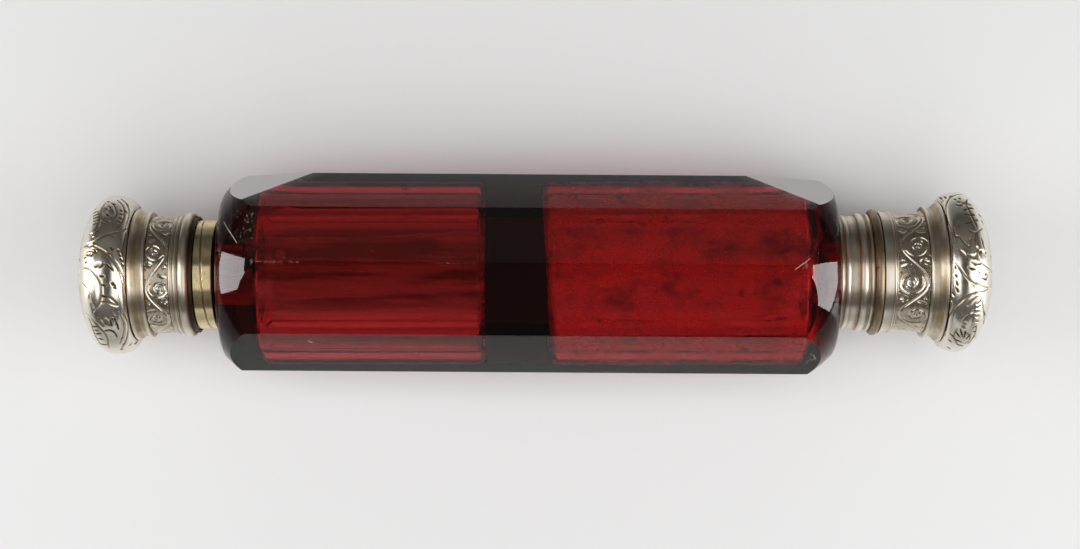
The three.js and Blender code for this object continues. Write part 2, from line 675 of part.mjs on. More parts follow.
function glassStopper() {
  const plugRadius = NECK_BORE_RADIUS - RUNNING;
  const mouth = HINGE_NECK_LENGTH;
  const head = mouth + STOPPER_THROAT_LENGTH;
  const end = head + STOPPER_HEAD_LENGTH;
  return turnedAt(RIGHT, [
    [mouth - STOPPER_PLUG_LENGTH, 0],
    [mouth - STOPPER_PLUG_LENGTH, plugRadius - STOPPER_TAPER],
    [mouth, plugRadius],
    [mouth + STOPPER_THROAT_LENGTH / 2, STOPPER_THROAT_RADIUS],
    [head, STOPPER_HEAD_RADIUS - STOPPER_HEAD_ROUND],
    [head + STOPPER_HEAD_ROUND, STOPPER_HEAD_RADIUS],
    [end - STOPPER_HEAD_ROUND, STOPPER_HEAD_RADIUS],
    [end, STOPPER_HEAD_RADIUS - STOPPER_HEAD_ROUND],
    [end, 0],
  ], INNER_SEGMENTS);
}

// Assembly

const finishes = {
  rubyGlass: { color: 0x8c0a12, roughness: 0.06, metalness: 0 },
  clearGlass: { color: 0xdfe6e4, roughness: 0.05, metalness: 0 },
  silver: { color: 0xc9c2b4, roughness: 0.28, metalness: 1 },
  gilt: { color: 0xd6b06a, roughness: 0.3, metalness: 1 },
  cork: { color: 0xa9794b, roughness: 0.9, metalness: 0 },
  cement: { color: 0xcfc7b8, roughness: 0.95, metalness: 0 },
};

const bottle = new THREE.Group();
const axis = new THREE.Group();
axis.position.z = axisHeight;
bottle.add(axis);

function add(name, finish, manifold) {
  const material = new THREE.MeshStandardMaterial(finishes[finish]);
  const mesh = new THREE.Mesh(geometryOf(manifold), material);
  mesh.name = name;
  axis.add(mesh);
}

add('glass_body', 'rubyGlass', glassBody());
add('screw_neck_cement', 'cement', neckCement(LEFT, collarStart, collarEnd));
add('screw_collar', 'gilt', screwCollar());
add('cork_seal', 'cork', corkSeal());
add('cork_pan', 'gilt', corkPan());
add('cap_threaded_sleeve', 'gilt', threadedSleeve());
add('cap_rim_bead', 'silver', capRimBead());
add('cap_reed_ring', 'silver', capReedRing());
add('cap_drum', 'silver', capDrum());
add('cap_shoulder_band', 'silver', capShoulderBand());
add('cap_crown', 'silver', capCrown());
add('hinge_neck_cement', 'cement', neckCement(RIGHT, hingeStart, hingeEnd));
add('hinge_collar', 'silver', hingeCollar());
add('lid_seat_bezel', 'gilt', lidSeatBezel());
add('collar_hinge_leaf', 'silver', collarHingeLeaf());
add('hinge_pin', 'silver', hingePin());
add('lid_hinge_leaf', 'silver', lidHingeLeaf());
add('lid_rim_roll', 'silver', lidRimRoll());
add('lid_flange', 'silver', lidFlange());
add('lid_drum', 'silver', lidDrum());
add('lid_shoulder_band', 'silver', lidShoulderBand());
add('lid_crown', 'silver', lidCrown());
add('lid_liner', 'gilt', lidLiner());
add('glass_stopper', 'clearGlass', glassStopper());

export default bottle;
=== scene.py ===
import math

import bmesh
import bpy
import numpy as np
from mathutils import Matrix, Vector


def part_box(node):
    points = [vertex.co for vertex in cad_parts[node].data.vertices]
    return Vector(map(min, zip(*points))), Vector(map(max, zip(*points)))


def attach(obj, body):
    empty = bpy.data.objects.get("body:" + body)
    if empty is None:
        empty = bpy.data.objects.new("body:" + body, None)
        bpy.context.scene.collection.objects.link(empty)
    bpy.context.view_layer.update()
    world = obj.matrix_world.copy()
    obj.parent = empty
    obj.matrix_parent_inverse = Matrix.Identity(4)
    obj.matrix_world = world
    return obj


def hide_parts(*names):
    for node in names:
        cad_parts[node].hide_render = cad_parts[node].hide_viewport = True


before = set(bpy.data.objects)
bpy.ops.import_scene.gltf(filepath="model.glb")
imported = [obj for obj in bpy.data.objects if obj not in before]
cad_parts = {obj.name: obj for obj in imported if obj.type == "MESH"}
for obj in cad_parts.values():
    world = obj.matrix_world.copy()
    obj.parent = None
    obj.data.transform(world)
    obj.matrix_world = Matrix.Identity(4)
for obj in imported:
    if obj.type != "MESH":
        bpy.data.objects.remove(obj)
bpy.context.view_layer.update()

# Double-ended scent bottle: cut ruby glass, an engraved screw cap at the left and an engraved
# hinged lid at the right. Pieces are worked out in millimetres and written in metres.
# A station is a distance along the bottle from its middle, and an angle is counted from straight
# up towards -Y, the front of the picture.

MM = 0.001
TURN = 2 * np.pi
LEFT, RIGHT = -1, 1

# Sizes read from the frame
CROWN_LOW, CROWN_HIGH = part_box("cap_crown")
AXIS_HEIGHT = (CROWN_LOW.z + CROWN_HIGH.z) / 2 / MM


def span(node):
    """Nearer and farther station of a turned piece and its radius, in millimetres."""
    low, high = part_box(node)
    near, far = sorted((abs(low.x) / MM, abs(high.x) / MM))
    return near, far, (high.y - low.y) / 2 / MM


# The glass bar, in millimetres: half its length, the angles in degrees and the radius of its
# nine long edges, and how far the cut facets are turned about the upright
HALF_BODY = 43.35
CUT_EDGES = [-83, -39.3, -5.4, 37.4, 83, 121.8, 160.6, 199.4, 238.2]
EDGE_RADIUS = 14.2
EDGE_BEVEL = 0.07
FACET_YAW = math.radians(0.6)

# The shoulders: a dome, and a small rounding at its edge that runs into the end plane
SHOULDER_DOME = 15.6
SHOULDER_INSET = 11.05
SHOULDER_RADIUS = 15.04
SHOULDER_EDGE = 2.0
SHOULDER_SIDE_STRETCH = 1.1
DOME_START = HALF_BODY - SHOULDER_INSET
EDGE_TURN = math.asin((SHOULDER_INSET - SHOULDER_EDGE) / (SHOULDER_DOME - SHOULDER_EDGE))
END_RADIUS = SHOULDER_RADIUS - SHOULDER_DOME + (SHOULDER_DOME - SHOULDER_EDGE) * math.cos(EDGE_TURN)

# The corner cuts: where they meet the first and second long edges, counted back from the end
# plane, and how far down the outer facet they meet that plane
CHAMFER_LENGTH = 12.5
CHAMFER_TOP_LENGTH = 1.3
CHAMFER_DEPTH = 3.0

# The chambers, from mouth end to floor, and the wall between them, slanted on the right
CHAMBER_RADIUS = 10.3
CHAMBER_END_ROUND = 1.5
SEPTUM_ROUND = 1.3
LEFT_CHAMBER = (-38.65, -5.95)
RIGHT_CHAMBER = (39.75, 2.45)
SEPTUM_SLANT = math.tan(math.radians(3.5))

# The necks, and the lip ring round the left one
NECK_RADIUS = 5.3
NECK_BORE = 3.2
NECK_END_ROUND = 0.35
LIP_LENGTH = 0.6
LIP_RADIUS = 7.2

# Bores of the mounts, in millimetres
COLLAR_BORE = 6.1
CAP_BORE = 7.95
LID_BORE = 7.8


# Meshes from arrays

def skin(name, points, wrap_rows=False, poles=(False, False), sharp=28):
    """A closed mesh over a grid of rows that each go once round. Rows join end to end if
    wrap_rows, and a row that is a pole is drawn together into one point."""
    rows, around = points.shape[:2]
    flat = points.reshape(-1, 3) * MM
    index = np.arange(rows * around).reshape(rows, around)
    first, last = index[:-1], index[1:]
    if wrap_rows:
        first, last = index, np.roll(index, -1, axis=0)
    quads = np.stack([first, np.roll(first, -1, 1), np.roll(last, -1, 1), last], -1)
    keep_first, keep_last = int(poles[0]), quads.shape[0] - int(poles[1])
    faces = quads[keep_first:keep_last].reshape(-1, 4).tolist()
    if poles[0]:
        ring = index[1]
        pole = np.full(around, index[0, 0])
        faces += np.stack([pole, np.roll(ring, -1), ring], -1).tolist()
    if poles[1]:
        ring = index[-2]
        pole = np.full(around, index[-1, 0])
        faces += np.stack([pole, ring, np.roll(ring, -1)], -1).tolist()
    mesh = bpy.data.meshes.new(name)
    mesh.from_pydata(flat.tolist(), [], faces)
    mesh.update()
    smooth(mesh, sharp)
    return placed(name, mesh)


def smooth(mesh, sharp):
    """Smooth shading, with crisp edges where faces turn by more than an angle in degrees."""
    mesh.polygons.foreach_set("use_smooth", np.ones(len(mesh.polygons), bool))
    mesh.set_sharp_from_angle(angle=math.radians(sharp))


def placed(name, content):
    """A mesh, lamp or camera as an object of the scene."""
    made = bpy.data.objects.new(name, content)
    bpy.context.scene.collection.objects.link(made)
    return made


def carry(piece, name, values):
    """Writes one number for each point of the mesh, for its material to read."""
    layer = piece.data.attributes.new(name, "FLOAT", "POINT")
    layer.data.foreach_set("value", values.ravel().astype(np.float32))


def without_loose_points(piece):
    """Takes out the points that a pole left over, and joins points that lie together."""
    shape = bmesh.new()
    shape.from_mesh(piece.data)
    bmesh.ops.remove_doubles(shape, verts=shape.verts, dist=1e-6)
    loose = [v for v in shape.verts if not v.link_faces]
    bmesh.ops.delete(shape, geom=loose, context="VERTS")
    shape.to_mesh(piece.data)
    shape.free()


def fit(piece, body, nodes, material):
    """Puts the piece on its body in place of its nodes, with its finish."""
    piece.data.materials.append(material)
    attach(piece, body)
    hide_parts(*nodes)
    return piece


# Turned work

# Points once round a plain ring, and how far off and how deep a hollow counts as one
AROUND = 256
HOLLOW_REACH = 0.55
HOLLOW_DEPTH = 0.32


def arc(x, r, half_length, height, start, end, steps):
    """Part of an ellipse round (x, r) from one angle to another in degrees, 0 along +x."""
    angle = np.radians(np.linspace(start, end, steps + 1))
    return np.stack([x + half_length * np.cos(angle), r + height * np.sin(angle)], -1)


def bead(near, far, base, top, steps=12):
    """A half-round bead between two stations, rising from its base to its top."""
    return arc((near + far) / 2, base, (near - far) / 2, top - base, 0, 180, steps)


def path(*parts):
    """Points and runs of points, joined into one profile without repeats."""
    points = np.concatenate([np.atleast_2d(np.asarray(p, float)) for p in parts])
    step = np.linalg.norm(np.diff(points, axis=0), axis=1)
    return points[np.concatenate([[True], step > 1e-6])]


def evenly(profile, step):
    """The same profile with its points one even step apart."""
    length = np.concatenate([[0], np.cumsum(np.linalg.norm(np.diff(profile, axis=0), axis=1))])
    count = max(2, int(round(length[-1] / step)) + 1)
    even = np.linspace(0, length[-1], count)
    return np.stack([np.interp(even, length, profile[:, k]) for k in (0, 1)], -1)


def recess(profile):
    """How far each point of a profile lies below the highest one within reach, as a share."""
    gap = np.abs(profile[:, None, 0] - profile[None, :, 0])
    top = np.where(gap < HOLLOW_REACH, profile[None, :, 1], 0).max(1)
    return np.clip((top - profile[:, 1]) / HOLLOW_DEPTH, 0, 1)


def round_points(profile, around, sink=None):
    """A profile of (station, radius) carried once round the axis. Sink moves each point in
    along the profile's normal: the tangent turned by a right angle."""
    x = np.repeat(profile[:, :1], around, 1)
    r = np.repeat(profile[:, 1:], around, 1)
    if sink is not None:
        tangent = np.gradient(profile, axis=0)
        tangent /= np.linalg.norm(tangent, axis=1, keepdims=True) + 1e-12
        x = x + tangent[:, 1:] * sink
        r = r - tangent[:, :1] * sink
    angle = np.arange(around) * TURN / around
    return np.stack([x, -r * np.sin(angle), AXIS_HEIGHT + r * np.cos(angle)], -1)


def turned(name, side, outer, bore, around=AROUND, sink=None, cut_stain_and_shade=None, sharp=28):
    """A ring: the outer profile, counted outwards along its side, closed by a plain bore."""
    outer = np.array(outer, float)
    near, far = outer[0, 0], outer[-1, 0]
    inner = np.array([[far, bore], [near, bore]])
    loop = np.concatenate([outer, inner])
    shade = np.concatenate([recess(outer), [1, 1]])[:, None] * np.ones(around)
    deep = np.zeros((len(loop), around))
    if sink is not None:
        deep[: len(outer)] = sink
    # Cut stains, and on the cap rim's undercut painted shade
    lines = np.zeros((len(loop), around))
    if cut_stain_and_shade is not None:
        lines[: len(outer)] = cut_stain_and_shade
    if side == LEFT:
        loop = loop[::-1] * [-1, 1]
        shade, deep, lines = shade[::-1], deep[::-1], lines[::-1]
    piece = skin(name, round_points(loop, around, deep), wrap_rows=True, sharp=sharp)
    carry(piece, "recess", shade)
    carry(piece, "cut_stain_and_shade", lines)
    return piece


def marked(piece, hollow=0.25):
    """The same piece with no cuts on it and an even hollow, in a metal that reads both."""
    for name, value in (("cut_stain_and_shade", 0.0), ("recess", hollow)):
        carry(piece, name, np.full(len(piece.data.vertices), value))
    return piece


def turned_solid(name, side, profile, sharp):
    """A solid or a bowl whose profile starts and ends on the axis."""
    profile = np.array(profile, float)
    if side == LEFT:
        profile = profile * [-1, 1]
    x, r = profile.T
    # Twice the area that the profile goes round tells its sense, and faces have to point out
    if np.sum(x[:-1] * r[1:] - x[1:] * r[:-1]) > 0:
        profile = profile[::-1]
    piece = skin(name, round_points(profile, AROUND), poles=(True, True), sharp=sharp)
    without_loose_points(piece)
    return piece


# Finishes

def nodes_of(owner):
    """Clears the nodes of a material or the world, and returns a short way to add new ones. A
    node takes its settings and inputs by name."""
    owner.use_nodes = True
    tree = owner.node_tree
    tree.nodes.clear()

    def node(kind, **settings):
        new = tree.nodes.new(kind)
        for key, value in settings.items():
            if hasattr(new, key):
                setattr(new, key, value)
            else:
                feed(new.inputs[key.replace("_", " ")], value)
        return new

    return node


def feed(socket, value):
    """Links an input to an output, or sets it to a value."""
    if hasattr(value, "is_output"):
        socket.id_data.links.new(value, socket)
    elif value is not None:
        socket.default_value = value


def material(name):
    """An empty material, and the way to add nodes to it."""
    made = bpy.data.materials.new(name)
    return made, nodes_of(made)


def ramp(node, factor, *stops):
    """A colour or grey that changes along a factor, from stops of (place, value)."""
    made = node("ShaderNodeValToRGB", Fac=factor)
    elements = made.color_ramp.elements
    while len(elements) < len(stops):
        elements.new(0.5)
    for element, (place, value) in zip(elements, stops):
        element.position = place
        element.color = (*value, 1) if isinstance(value, tuple) else (value, value, value, 1)
    return made.outputs["Color"]


def number(node, operation, a, b=0.0, c=None, clamp=False):
    """One sum on two numbers, or on three: MULTIPLY_ADD is a times b, plus c."""
    made = node("ShaderNodeMath", operation=operation, use_clamp=clamp)
    for socket, value in zip(made.inputs, (a, b, c)):
        feed(socket, value)
    return made.outputs[0]


def both(node, a, b):
    """One number times another, which for two masks is where they meet."""
    return number(node, "MULTIPLY", a, b)


def within(node, value, low, high):
    """1 where a value lies between two limits, and 0 elsewhere."""
    return both(node, number(node, "GREATER_THAN", value, low),
                number(node, "LESS_THAN", value, high))


def largest(node, first, *others):
    """The largest of some numbers."""
    for other in others:
        first = number(node, "MAXIMUM", first, other)
    return first


def blended(node, factor, a, b):
    """Colour a where the factor is 0 and colour b where it is 1."""
    made = node("ShaderNodeMix", data_type="RGBA")
    for socket, value in ((made.inputs[0], factor), (made.inputs[6], a), (made.inputs[7], b)):
        feed(socket, (*value, 1) if isinstance(value, tuple) else value)
    return made.outputs[2]


def noise(node, scale, detail, stretch=(1, 1, 1), roughness=0.55):
    """Soft random grain in Object coordinates, drawn out along each axis whose stretch is
    below 1."""
    place = node("ShaderNodeTexCoord").outputs["Object"]
    spread = node("ShaderNodeMapping", Vector=place, Scale=stretch).outputs[0]
    grain = node("ShaderNodeTexNoise", Vector=spread, Scale=scale, Detail=detail,
                 Roughness=roughness)
    return grain.outputs["Fac"]


# Old silver: broad clouds of wear, and fine marks drawn out round the bottle as a lathe
# leaves them, with their depth in metres
CLOUD_SCALE = 260
MARK_SCALE = 2600
MARK_STRETCH = (1, 0.35, 0.35)
MARK_DEPTH = 0.00004
WORN_SHARE = 0.88
HOLLOW_DIRT = 0.75
DIRT_ROUGHNESS = 0.3
GOLDEN_TARNISH = (0.46, 0.36, 0.22)
BLACK_TARNISH = (0.065, 0.045, 0.03)


def silver(name, base, dull, speck=0.0, turned=0.0):
    """Old silver: a bright base, golden tarnish in shallow cuts and nearly black in deep ones,
    and uneven polish. Dirt is the larger of a cut's own and a share of what the hollows hold;
    on the cap rim's undercut a cut's own value is painted shade, not dirt.
    Turned spreads its shine along the bottle, as fine lathe marks do."""
    made, node = material(name)
    cut_stain_and_shade = node("ShaderNodeAttribute", attribute_name="cut_stain_and_shade").outputs["Fac"]
    hollow = node("ShaderNodeAttribute", attribute_name="recess").outputs["Fac"]
    cloud = noise(node, CLOUD_SCALE, 3)
    fine = noise(node, MARK_SCALE, 5, stretch=MARK_STRETCH)
    held = both(node, hollow, number(node, "MULTIPLY_ADD", cloud, 1.4, -0.15))
    # Dirt, and painted shade where the cut values hold it, as on the cap rim's undercut
    dirt_and_shade = number(node, "MAXIMUM", both(node, held, HOLLOW_DIRT), cut_stain_and_shade, clamp=True)
    spots = ramp(node, fine, (0.36, 1.0), (0.46, 0.0))
    dirt_and_shade = number(node, "ADD", dirt_and_shade, both(node, spots, speck), clamp=True)
    worn = blended(node, cloud, tuple(WORN_SHARE * c for c in base), base)
    shallow = number(node, "MULTIPLY", dirt_and_shade, 2.0, clamp=True)
    golden = blended(node, shallow, worn, GOLDEN_TARNISH)
    deep = number(node, "MULTIPLY_ADD", dirt_and_shade, 2.0, -1.0, clamp=True)
    colour = blended(node, deep, golden, BLACK_TARNISH)
    rough = number(node, "MULTIPLY_ADD", fine, 0.22, dull - 0.06)
    rough = number(node, "ADD", rough, both(node, dirt_and_shade, DIRT_ROUGHNESS), clamp=True)
    bump = node("ShaderNodeBump", Strength=0.12, Distance=MARK_DEPTH, Height=fine)
    shader = node("ShaderNodeBsdfPrincipled", Metallic=1.0, Base_Color=colour, Roughness=rough,
                  Normal=bump.outputs["Normal"])
    if turned:
        lathe = node("ShaderNodeTangent", direction_type="RADIAL", axis="X")
        feed(shader.inputs["Anisotropic"], turned)
        feed(shader.inputs["Anisotropic Rotation"], 0.25)
        feed(shader.inputs["Tangent"], lathe.outputs[0])
    node("ShaderNodeOutputMaterial", Surface=shader.outputs[0])
    return made


# The glass takes up each colour at its density times 1 - colour, for each metre of glass
GLASS_DENSITY = 500.0
GLASS_COLOUR = (0.80, 0.0, 0.02)
GLASS_IOR = 1.5
SHADOW_TINT = (0.80, 0.74, 0.74)

# What lies on the glass, and the shade painted on its ends: its colour, the share of light
# that it stops and its roughness. The painted shade's radius and the stains' reach along the
# bottle are in millimetres.
CLEAN_GLASS = (1.0, 0.93, 0.93)
FILM, FILM_SHARE = (0.85, 0.30, 0.24), 0.5
STAIN, STAIN_SHARE = (0.03, 0.006, 0.005), 0.9
GROUND, GROUND_SHARE = (0.88, 0.845, 0.845), 0.8
# Painted shade: the necks, the lip and the end planes are painted near black and opaque
NECK_SHADE, NECK_SHADE_SHARE = (0.012, 0.006, 0.006), 0.96
FILM_ROUGHNESS = 0.35
GROUND_ROUGHNESS = 0.4
NECK_SHADE_RADIUS = 8.4
STAINED_REACH = 41.5


def chamber_stains(node, in_left, in_right):
    """Dried scent: a mottled film and dark blots in the right chamber, drops and long faint
    smoke in the left one. Returns the film and the dark stains."""
    cloud = noise(node, 190, 5, stretch=(1, 1.2, 1.2), roughness=0.62)
    film = both(node, in_right, ramp(node, cloud, (0.40, 0.05), (0.60, 0.85)))
    spots = noise(node, 330, 5, stretch=(1, 0.8, 0.8), roughness=0.6)
    blots = both(node, in_right, ramp(node, spots, (0.60, 0.0), (0.68, 0.8)))
    drops = both(node, in_left, ramp(node, spots, (0.66, 0.0), (0.72, 0.8)))
    streaks = noise(node, 260, 4, stretch=(0.12, 1, 1), roughness=0.6)
    smoke = both(node, in_left, ramp(node, streaks, (0.48, 0.0), (0.68, 0.45)))
    return film, largest(node, blots, drops, smoke)


def ground_corners(node, place):
    """1 on the two corner cuts, which is where a point reaches the plane of a cut."""
    reached = 0.0
    for side in (LEFT, RIGHT):
        normal, distance = corner_plane(side)
        along = node("ShaderNodeVectorMath", operation="DOT_PRODUCT")
        feed(along.inputs[0], place)
        feed(along.inputs[1], normal)
        limit = distance * MM + normal[2] * AXIS_HEIGHT * MM - 0.00002
        on_cut = number(node, "GREATER_THAN", along.outputs["Value"], limit)
        reached = number(node, "MAXIMUM", reached, on_cut)
    return reached


def ruby_glass():
    """Deep red glass that lets lamps through. Its necks and ends are painted near black and opaque
    as shade, its two corner cuts are left ground, and dried scent stains the walls of the chambers."""
    made, node = material("ruby_glass")
    place = node("ShaderNodeTexCoord").outputs["Object"]
    x, y, z = node("ShaderNodeSeparateXYZ", Vector=place).outputs
    height = number(node, "SUBTRACT", z, AXIS_HEIGHT * MM)
    radius = number(node, "SQRT", number(node, "ADD", both(node, y, y),
                                         both(node, height, height)))
    # Painted shade over the necks, the lip and the end planes, within the shade's radius
    painted_neck_shade = both(node, number(node, "LESS_THAN", radius, NECK_SHADE_RADIUS * MM),
                 number(node, "GREATER_THAN", number(node, "ABSOLUTE", x),
                        (HALF_BODY - 0.02) * MM))
    in_chamber = number(node, "LESS_THAN", radius, (CHAMBER_RADIUS + 0.1) * MM)
    in_right = both(node, in_chamber, within(node, x, 0.0, STAINED_REACH * MM))
    in_left = both(node, in_chamber, within(node, x, -STAINED_REACH * MM, 0.0))
    film, stain = chamber_stains(node, in_left, in_right)
    ground = ground_corners(node, place)
    colour = CLEAN_GLASS
    for mask, over in ((film, FILM), (stain, STAIN), (ground, GROUND), (painted_neck_shade, NECK_SHADE)):
        colour = blended(node, mask, colour, over)
    stopped = largest(node, both(node, film, FILM_SHARE), both(node, stain, STAIN_SHARE),
                      both(node, ground, GROUND_SHARE), both(node, painted_neck_shade, NECK_SHADE_SHARE))
    rough = largest(node, both(node, film, FILM_ROUGHNESS), both(node, ground, GROUND_ROUGHNESS))
    waves = noise(node, 420, 3, stretch=(0.06, 1, 1))
    bump = node("ShaderNodeBump", Strength=0.25, Distance=0.00002, Height=waves)
    shader = node("ShaderNodeBsdfPrincipled", IOR=GLASS_IOR, Base_Color=colour, Roughness=rough,
                  Transmission_Weight=number(node, "SUBTRACT", 1.0, stopped),
                  Normal=bump.outputs["Normal"])
    shadow = node("ShaderNodeBsdfTransparent", Color=(*SHADOW_TINT, 1))
    ray = node("ShaderNodeLightPath")
    mix = node("ShaderNodeMixShader")
    feed(mix.inputs[0], ray.outputs["Is Shadow Ray"])
    feed(mix.inputs[1], shader.outputs[0])
    feed(mix.inputs[2], shadow.outputs[0])
    inside = node("ShaderNodeVolumeAbsorption", Density=GLASS_DENSITY, Color=(*GLASS_COLOUR, 1))
    node("ShaderNodeOutputMaterial", Surface=mix.outputs[0], Volume=inside.outputs[0])
    return made


def stopper_glass():
    """Clear glass of the stopper, slightly grey, finely ground."""
    made, node = material("stopper_glass")
    rough = ramp(node, noise(node, 3000, 3), (0.3, 0.02), (0.8, 0.12))
    shader = node("ShaderNodeBsdfPrincipled", IOR=GLASS_IOR, Base_Color=(0.93, 0.96, 0.95, 1),
                  Transmission_Weight=1.0, Roughness=rough)
    node("ShaderNodeOutputMaterial", Surface=shader.outputs[0])
    return made


def matt(name, light, dark, scale, rough, depth):
    """A dull material with grain: cork, cement, or scratches and painted highlights on glass."""
    made, node = material(name)
    grain = noise(node, scale, 6)
    colour = ramp(node, grain, (0.35, dark), (0.6, light))
    bump = node("ShaderNodeBump", Strength=0.5, Distance=depth, Height=grain)
    shader = node("ShaderNodeBsdfPrincipled", Roughness=rough, Base_Color=colour,
                  Normal=bump.outputs["Normal"])
    node("ShaderNodeOutputMaterial", Surface=shader.outputs[0])
    return made


CLEAR = stopper_glass()
SILVER = silver("old_silver", (0.93, 0.865, 0.75), dull=0.28, turned=0.8)
POLISHED = silver("polished_silver", (0.95, 0.895, 0.79), dull=0.16)
# Painted shade: dark brown silver for the lid's rim roll, as shade tinged by the red glass's
# reflection
PAINTED_SHADE_SILVER = silver("painted_shade_silver", (0.36, 0.28, 0.20), dull=0.34, speck=0.6, turned=0.7)
GILT = silver("worn_gilt", (0.95, 0.80, 0.47), dull=0.17, speck=0.25, turned=0.7)
ENGRAVED = silver("engraved_silver", (0.92, 0.855, 0.74), dull=0.12, speck=0.2)
HINGE_SILVER = silver("hinge_silver", (0.78, 0.72, 0.62), dull=0.3, speck=0.3)
CORK = matt("cork_grain", light=(0.52, 0.33, 0.18), dark=(0.30, 0.17, 0.08), scale=900, rough=0.9,
            depth=0.0003)
CEMENT = matt("old_cement", light=(0.55, 0.50, 0.42), dark=(0.40, 0.35, 0.28), scale=1200,
              rough=0.95, depth=0.0001)
# Pale marks on the glass: scratches, chips, and the painted highlight lines
SCRATCH_AND_GLINT_FINISH = matt("scratches_and_painted_glints", light=(0.86, 0.72, 0.62), dark=(0.62, 0.50, 0.44), scale=2500,
                 rough=0.6, depth=0.00001)


# Engraving

# Each stroke is a run of points, an angle in degrees and a length in millimetres along the
# profile from the crown's edge, and covers half a turn. The same strokes go round twice.
CAP_CROWN_LINES = """
-24 7.3 -24 5.7 -26 4.5 -30 2.9 -34 1.3 -39 0.5;
-21 4.9 -18 3.8 -14 2.7 -7 1.5 -1 0.7 7 0.2 16 0.0;
-19 5.3 -18 4.0 -14 2.9 -8 1.8 -3 1.2 6 0.7; -16 7.0 -18 6.5 -18 5.6 -16 4.4;
-6 7.1 -4 5.4 2 4.2 7 3.7 13 3.7 21 4.1 28 5.3; 7 7.6 10 6.4 14 5.7 18 5.7 22 5.3 27 5.2;
33 7.0 36 5.4 42 4.4 50 3.8 65 4.0; 36 6.5 42 6.0 52 5.8 64 5.2; 29 1.6 38 1.1 48 1.3 60 2.3;
28 1.0 42 0.3 55 1.0 70 2.5; -69 2.9 -60 1.7 -50 1.3 -41 1.5 -36 2.0;
-74 2.6 -65 1.2 -54 0.5 -40 0.7; -53 5.0 -45 4.6 -39 4.5 -35 4.7;
20 3.7 20 2.9 23 1.7 18 2.3 16 2.9 16 3.7; -64 4.4 -54 4.6 -44 4.2 -40 3.3;
-63 3.5 -56 2.7 -48 2.3 -42 2.8; -56 3.4 -50 2.9 -44 3.0;
-25 7.3 -24 5.8 -24 4.7 -22 5.5 -24 7.1
"""
CAP_CROWN_TICKS = """
-5 4.0 -8 3.2; -8 3.1 -3 2.0; 1 3.9 1 3.2; 7 3.7 8 2.9; 15 3.7 16 3.0; -70 7.3 -62 5.9;
-58 6.4 -54 5.2; -52 6.1 -50 4.9; -48 5.9 -46 4.7; -44 5.7 -43 4.6; -40 5.6 -40 4.7;
-32 6.0 -32 5.3; -28 5.5 -28 5.0; -34 5.1 -36 4.6; -32 4.7 -34 4.3; -15 5.9 -16 5.4;
-14 5.4 -16 4.9; -14 7.1 -14 6.4; -10 6.8 -10 6.2; -16 1.3 -14 1.0; -13 1.1 -11 0.8;
-9 0.8 -7 0.5; -19 1.5 -17 1.3; 43 5.8 40 4.8; 50 5.5 46 4.4; 55 5.3 53 4.4; 63 5.4 60 4.1;
46 5.6 44 4.8; 32 4.4 36 4.4; 31 3.6 37 3.6; 33 2.9 39 2.8; 32 2.3 40 2.0 44 2.0;
44 4.0 43 3.2 46 2.6 52 2.4; 56 2.0 54 1.7; 32 2.7 34 2.5; -66 4.2 -65 3.9; -62 3.3 -61 2.9;
-68 1.5 -66 1.2; -57 1.3 -55 1.0; -54 2.1 -55 1.7; -50 2.0 -51 1.5; -46 2.0 -46 1.5;
-42 2.0 -42 1.6; 63 2.1 63 1.6; 70 1.3 70 0.7; 76 0.5 84 0.0; 72 2.6 71 2.2; -56 4.1 -52 3.8;
-48 3.7 -46 3.3; -58 3.7 -56 3.4; -18 4.8 -16 4.4; -16 6.4 -15 5.9; 6 2.4 6 2.0; 7 2.3 8 1.7;
9 2.1 10 1.6; -20 2.5 -18 2.2; -16 2.8 -15 2.5
"""
CAP_CROWN_LEAVES = """
-6 4.7 -8 3.9; -30 2.7 -29 2.2; 22 5.4 25 5.0; -40 4.4 -37 4.8; 25 2.2 31 2.0; 32 3.5 38 3.1;
34 4.3 39 3.9; -42 2.9 -44 3.7; -58 4.5 -48 3.9; -53 3.5 -47 3.0
"""
LID_CROWN_LINES = """
-76 3.6 -71 2.1 -64 1.0 -56 0.3 -45 0.0 -32 0.6 -22 0.8;
-57 3.2 -50 3.5 -42 3.8 -36 4.2 -34 4.3; -36 5.6 -28 4.0 -22 3.7 -16 3.8 -8 4.4 -4 6.0 -2 7.6;
-7 0.8 -2 1.5 4 2.4 8 3.4 10 4.6 14 6.8;
15 6.8 15 4.4 17 2.7 22 1.6 29 0.7 38 0.0 48 0.0 60 0.2; 17 4.9 20 3.5 24 2.7;
22 5.0 38 6.1 61 7.8; -26 1.6 -19 2.4 -18 2.9 -24 3.3; -12 2.5 -11 3.2 -12 3.8 -15 3.9;
32 2.8 36 2.4 41 2.4; -7 3.2 -6 3.8 -6 4.4; 44 4.5 52 4.6 62 4.2; 45 1.7 53 1.5 64 2.4;
-30 3.1 -29 3.7 -30 4.4; 48 2.7 50 3.4 57 3.9 62 3.3; -34 0.9 -27 1.1 -26 1.6
"""
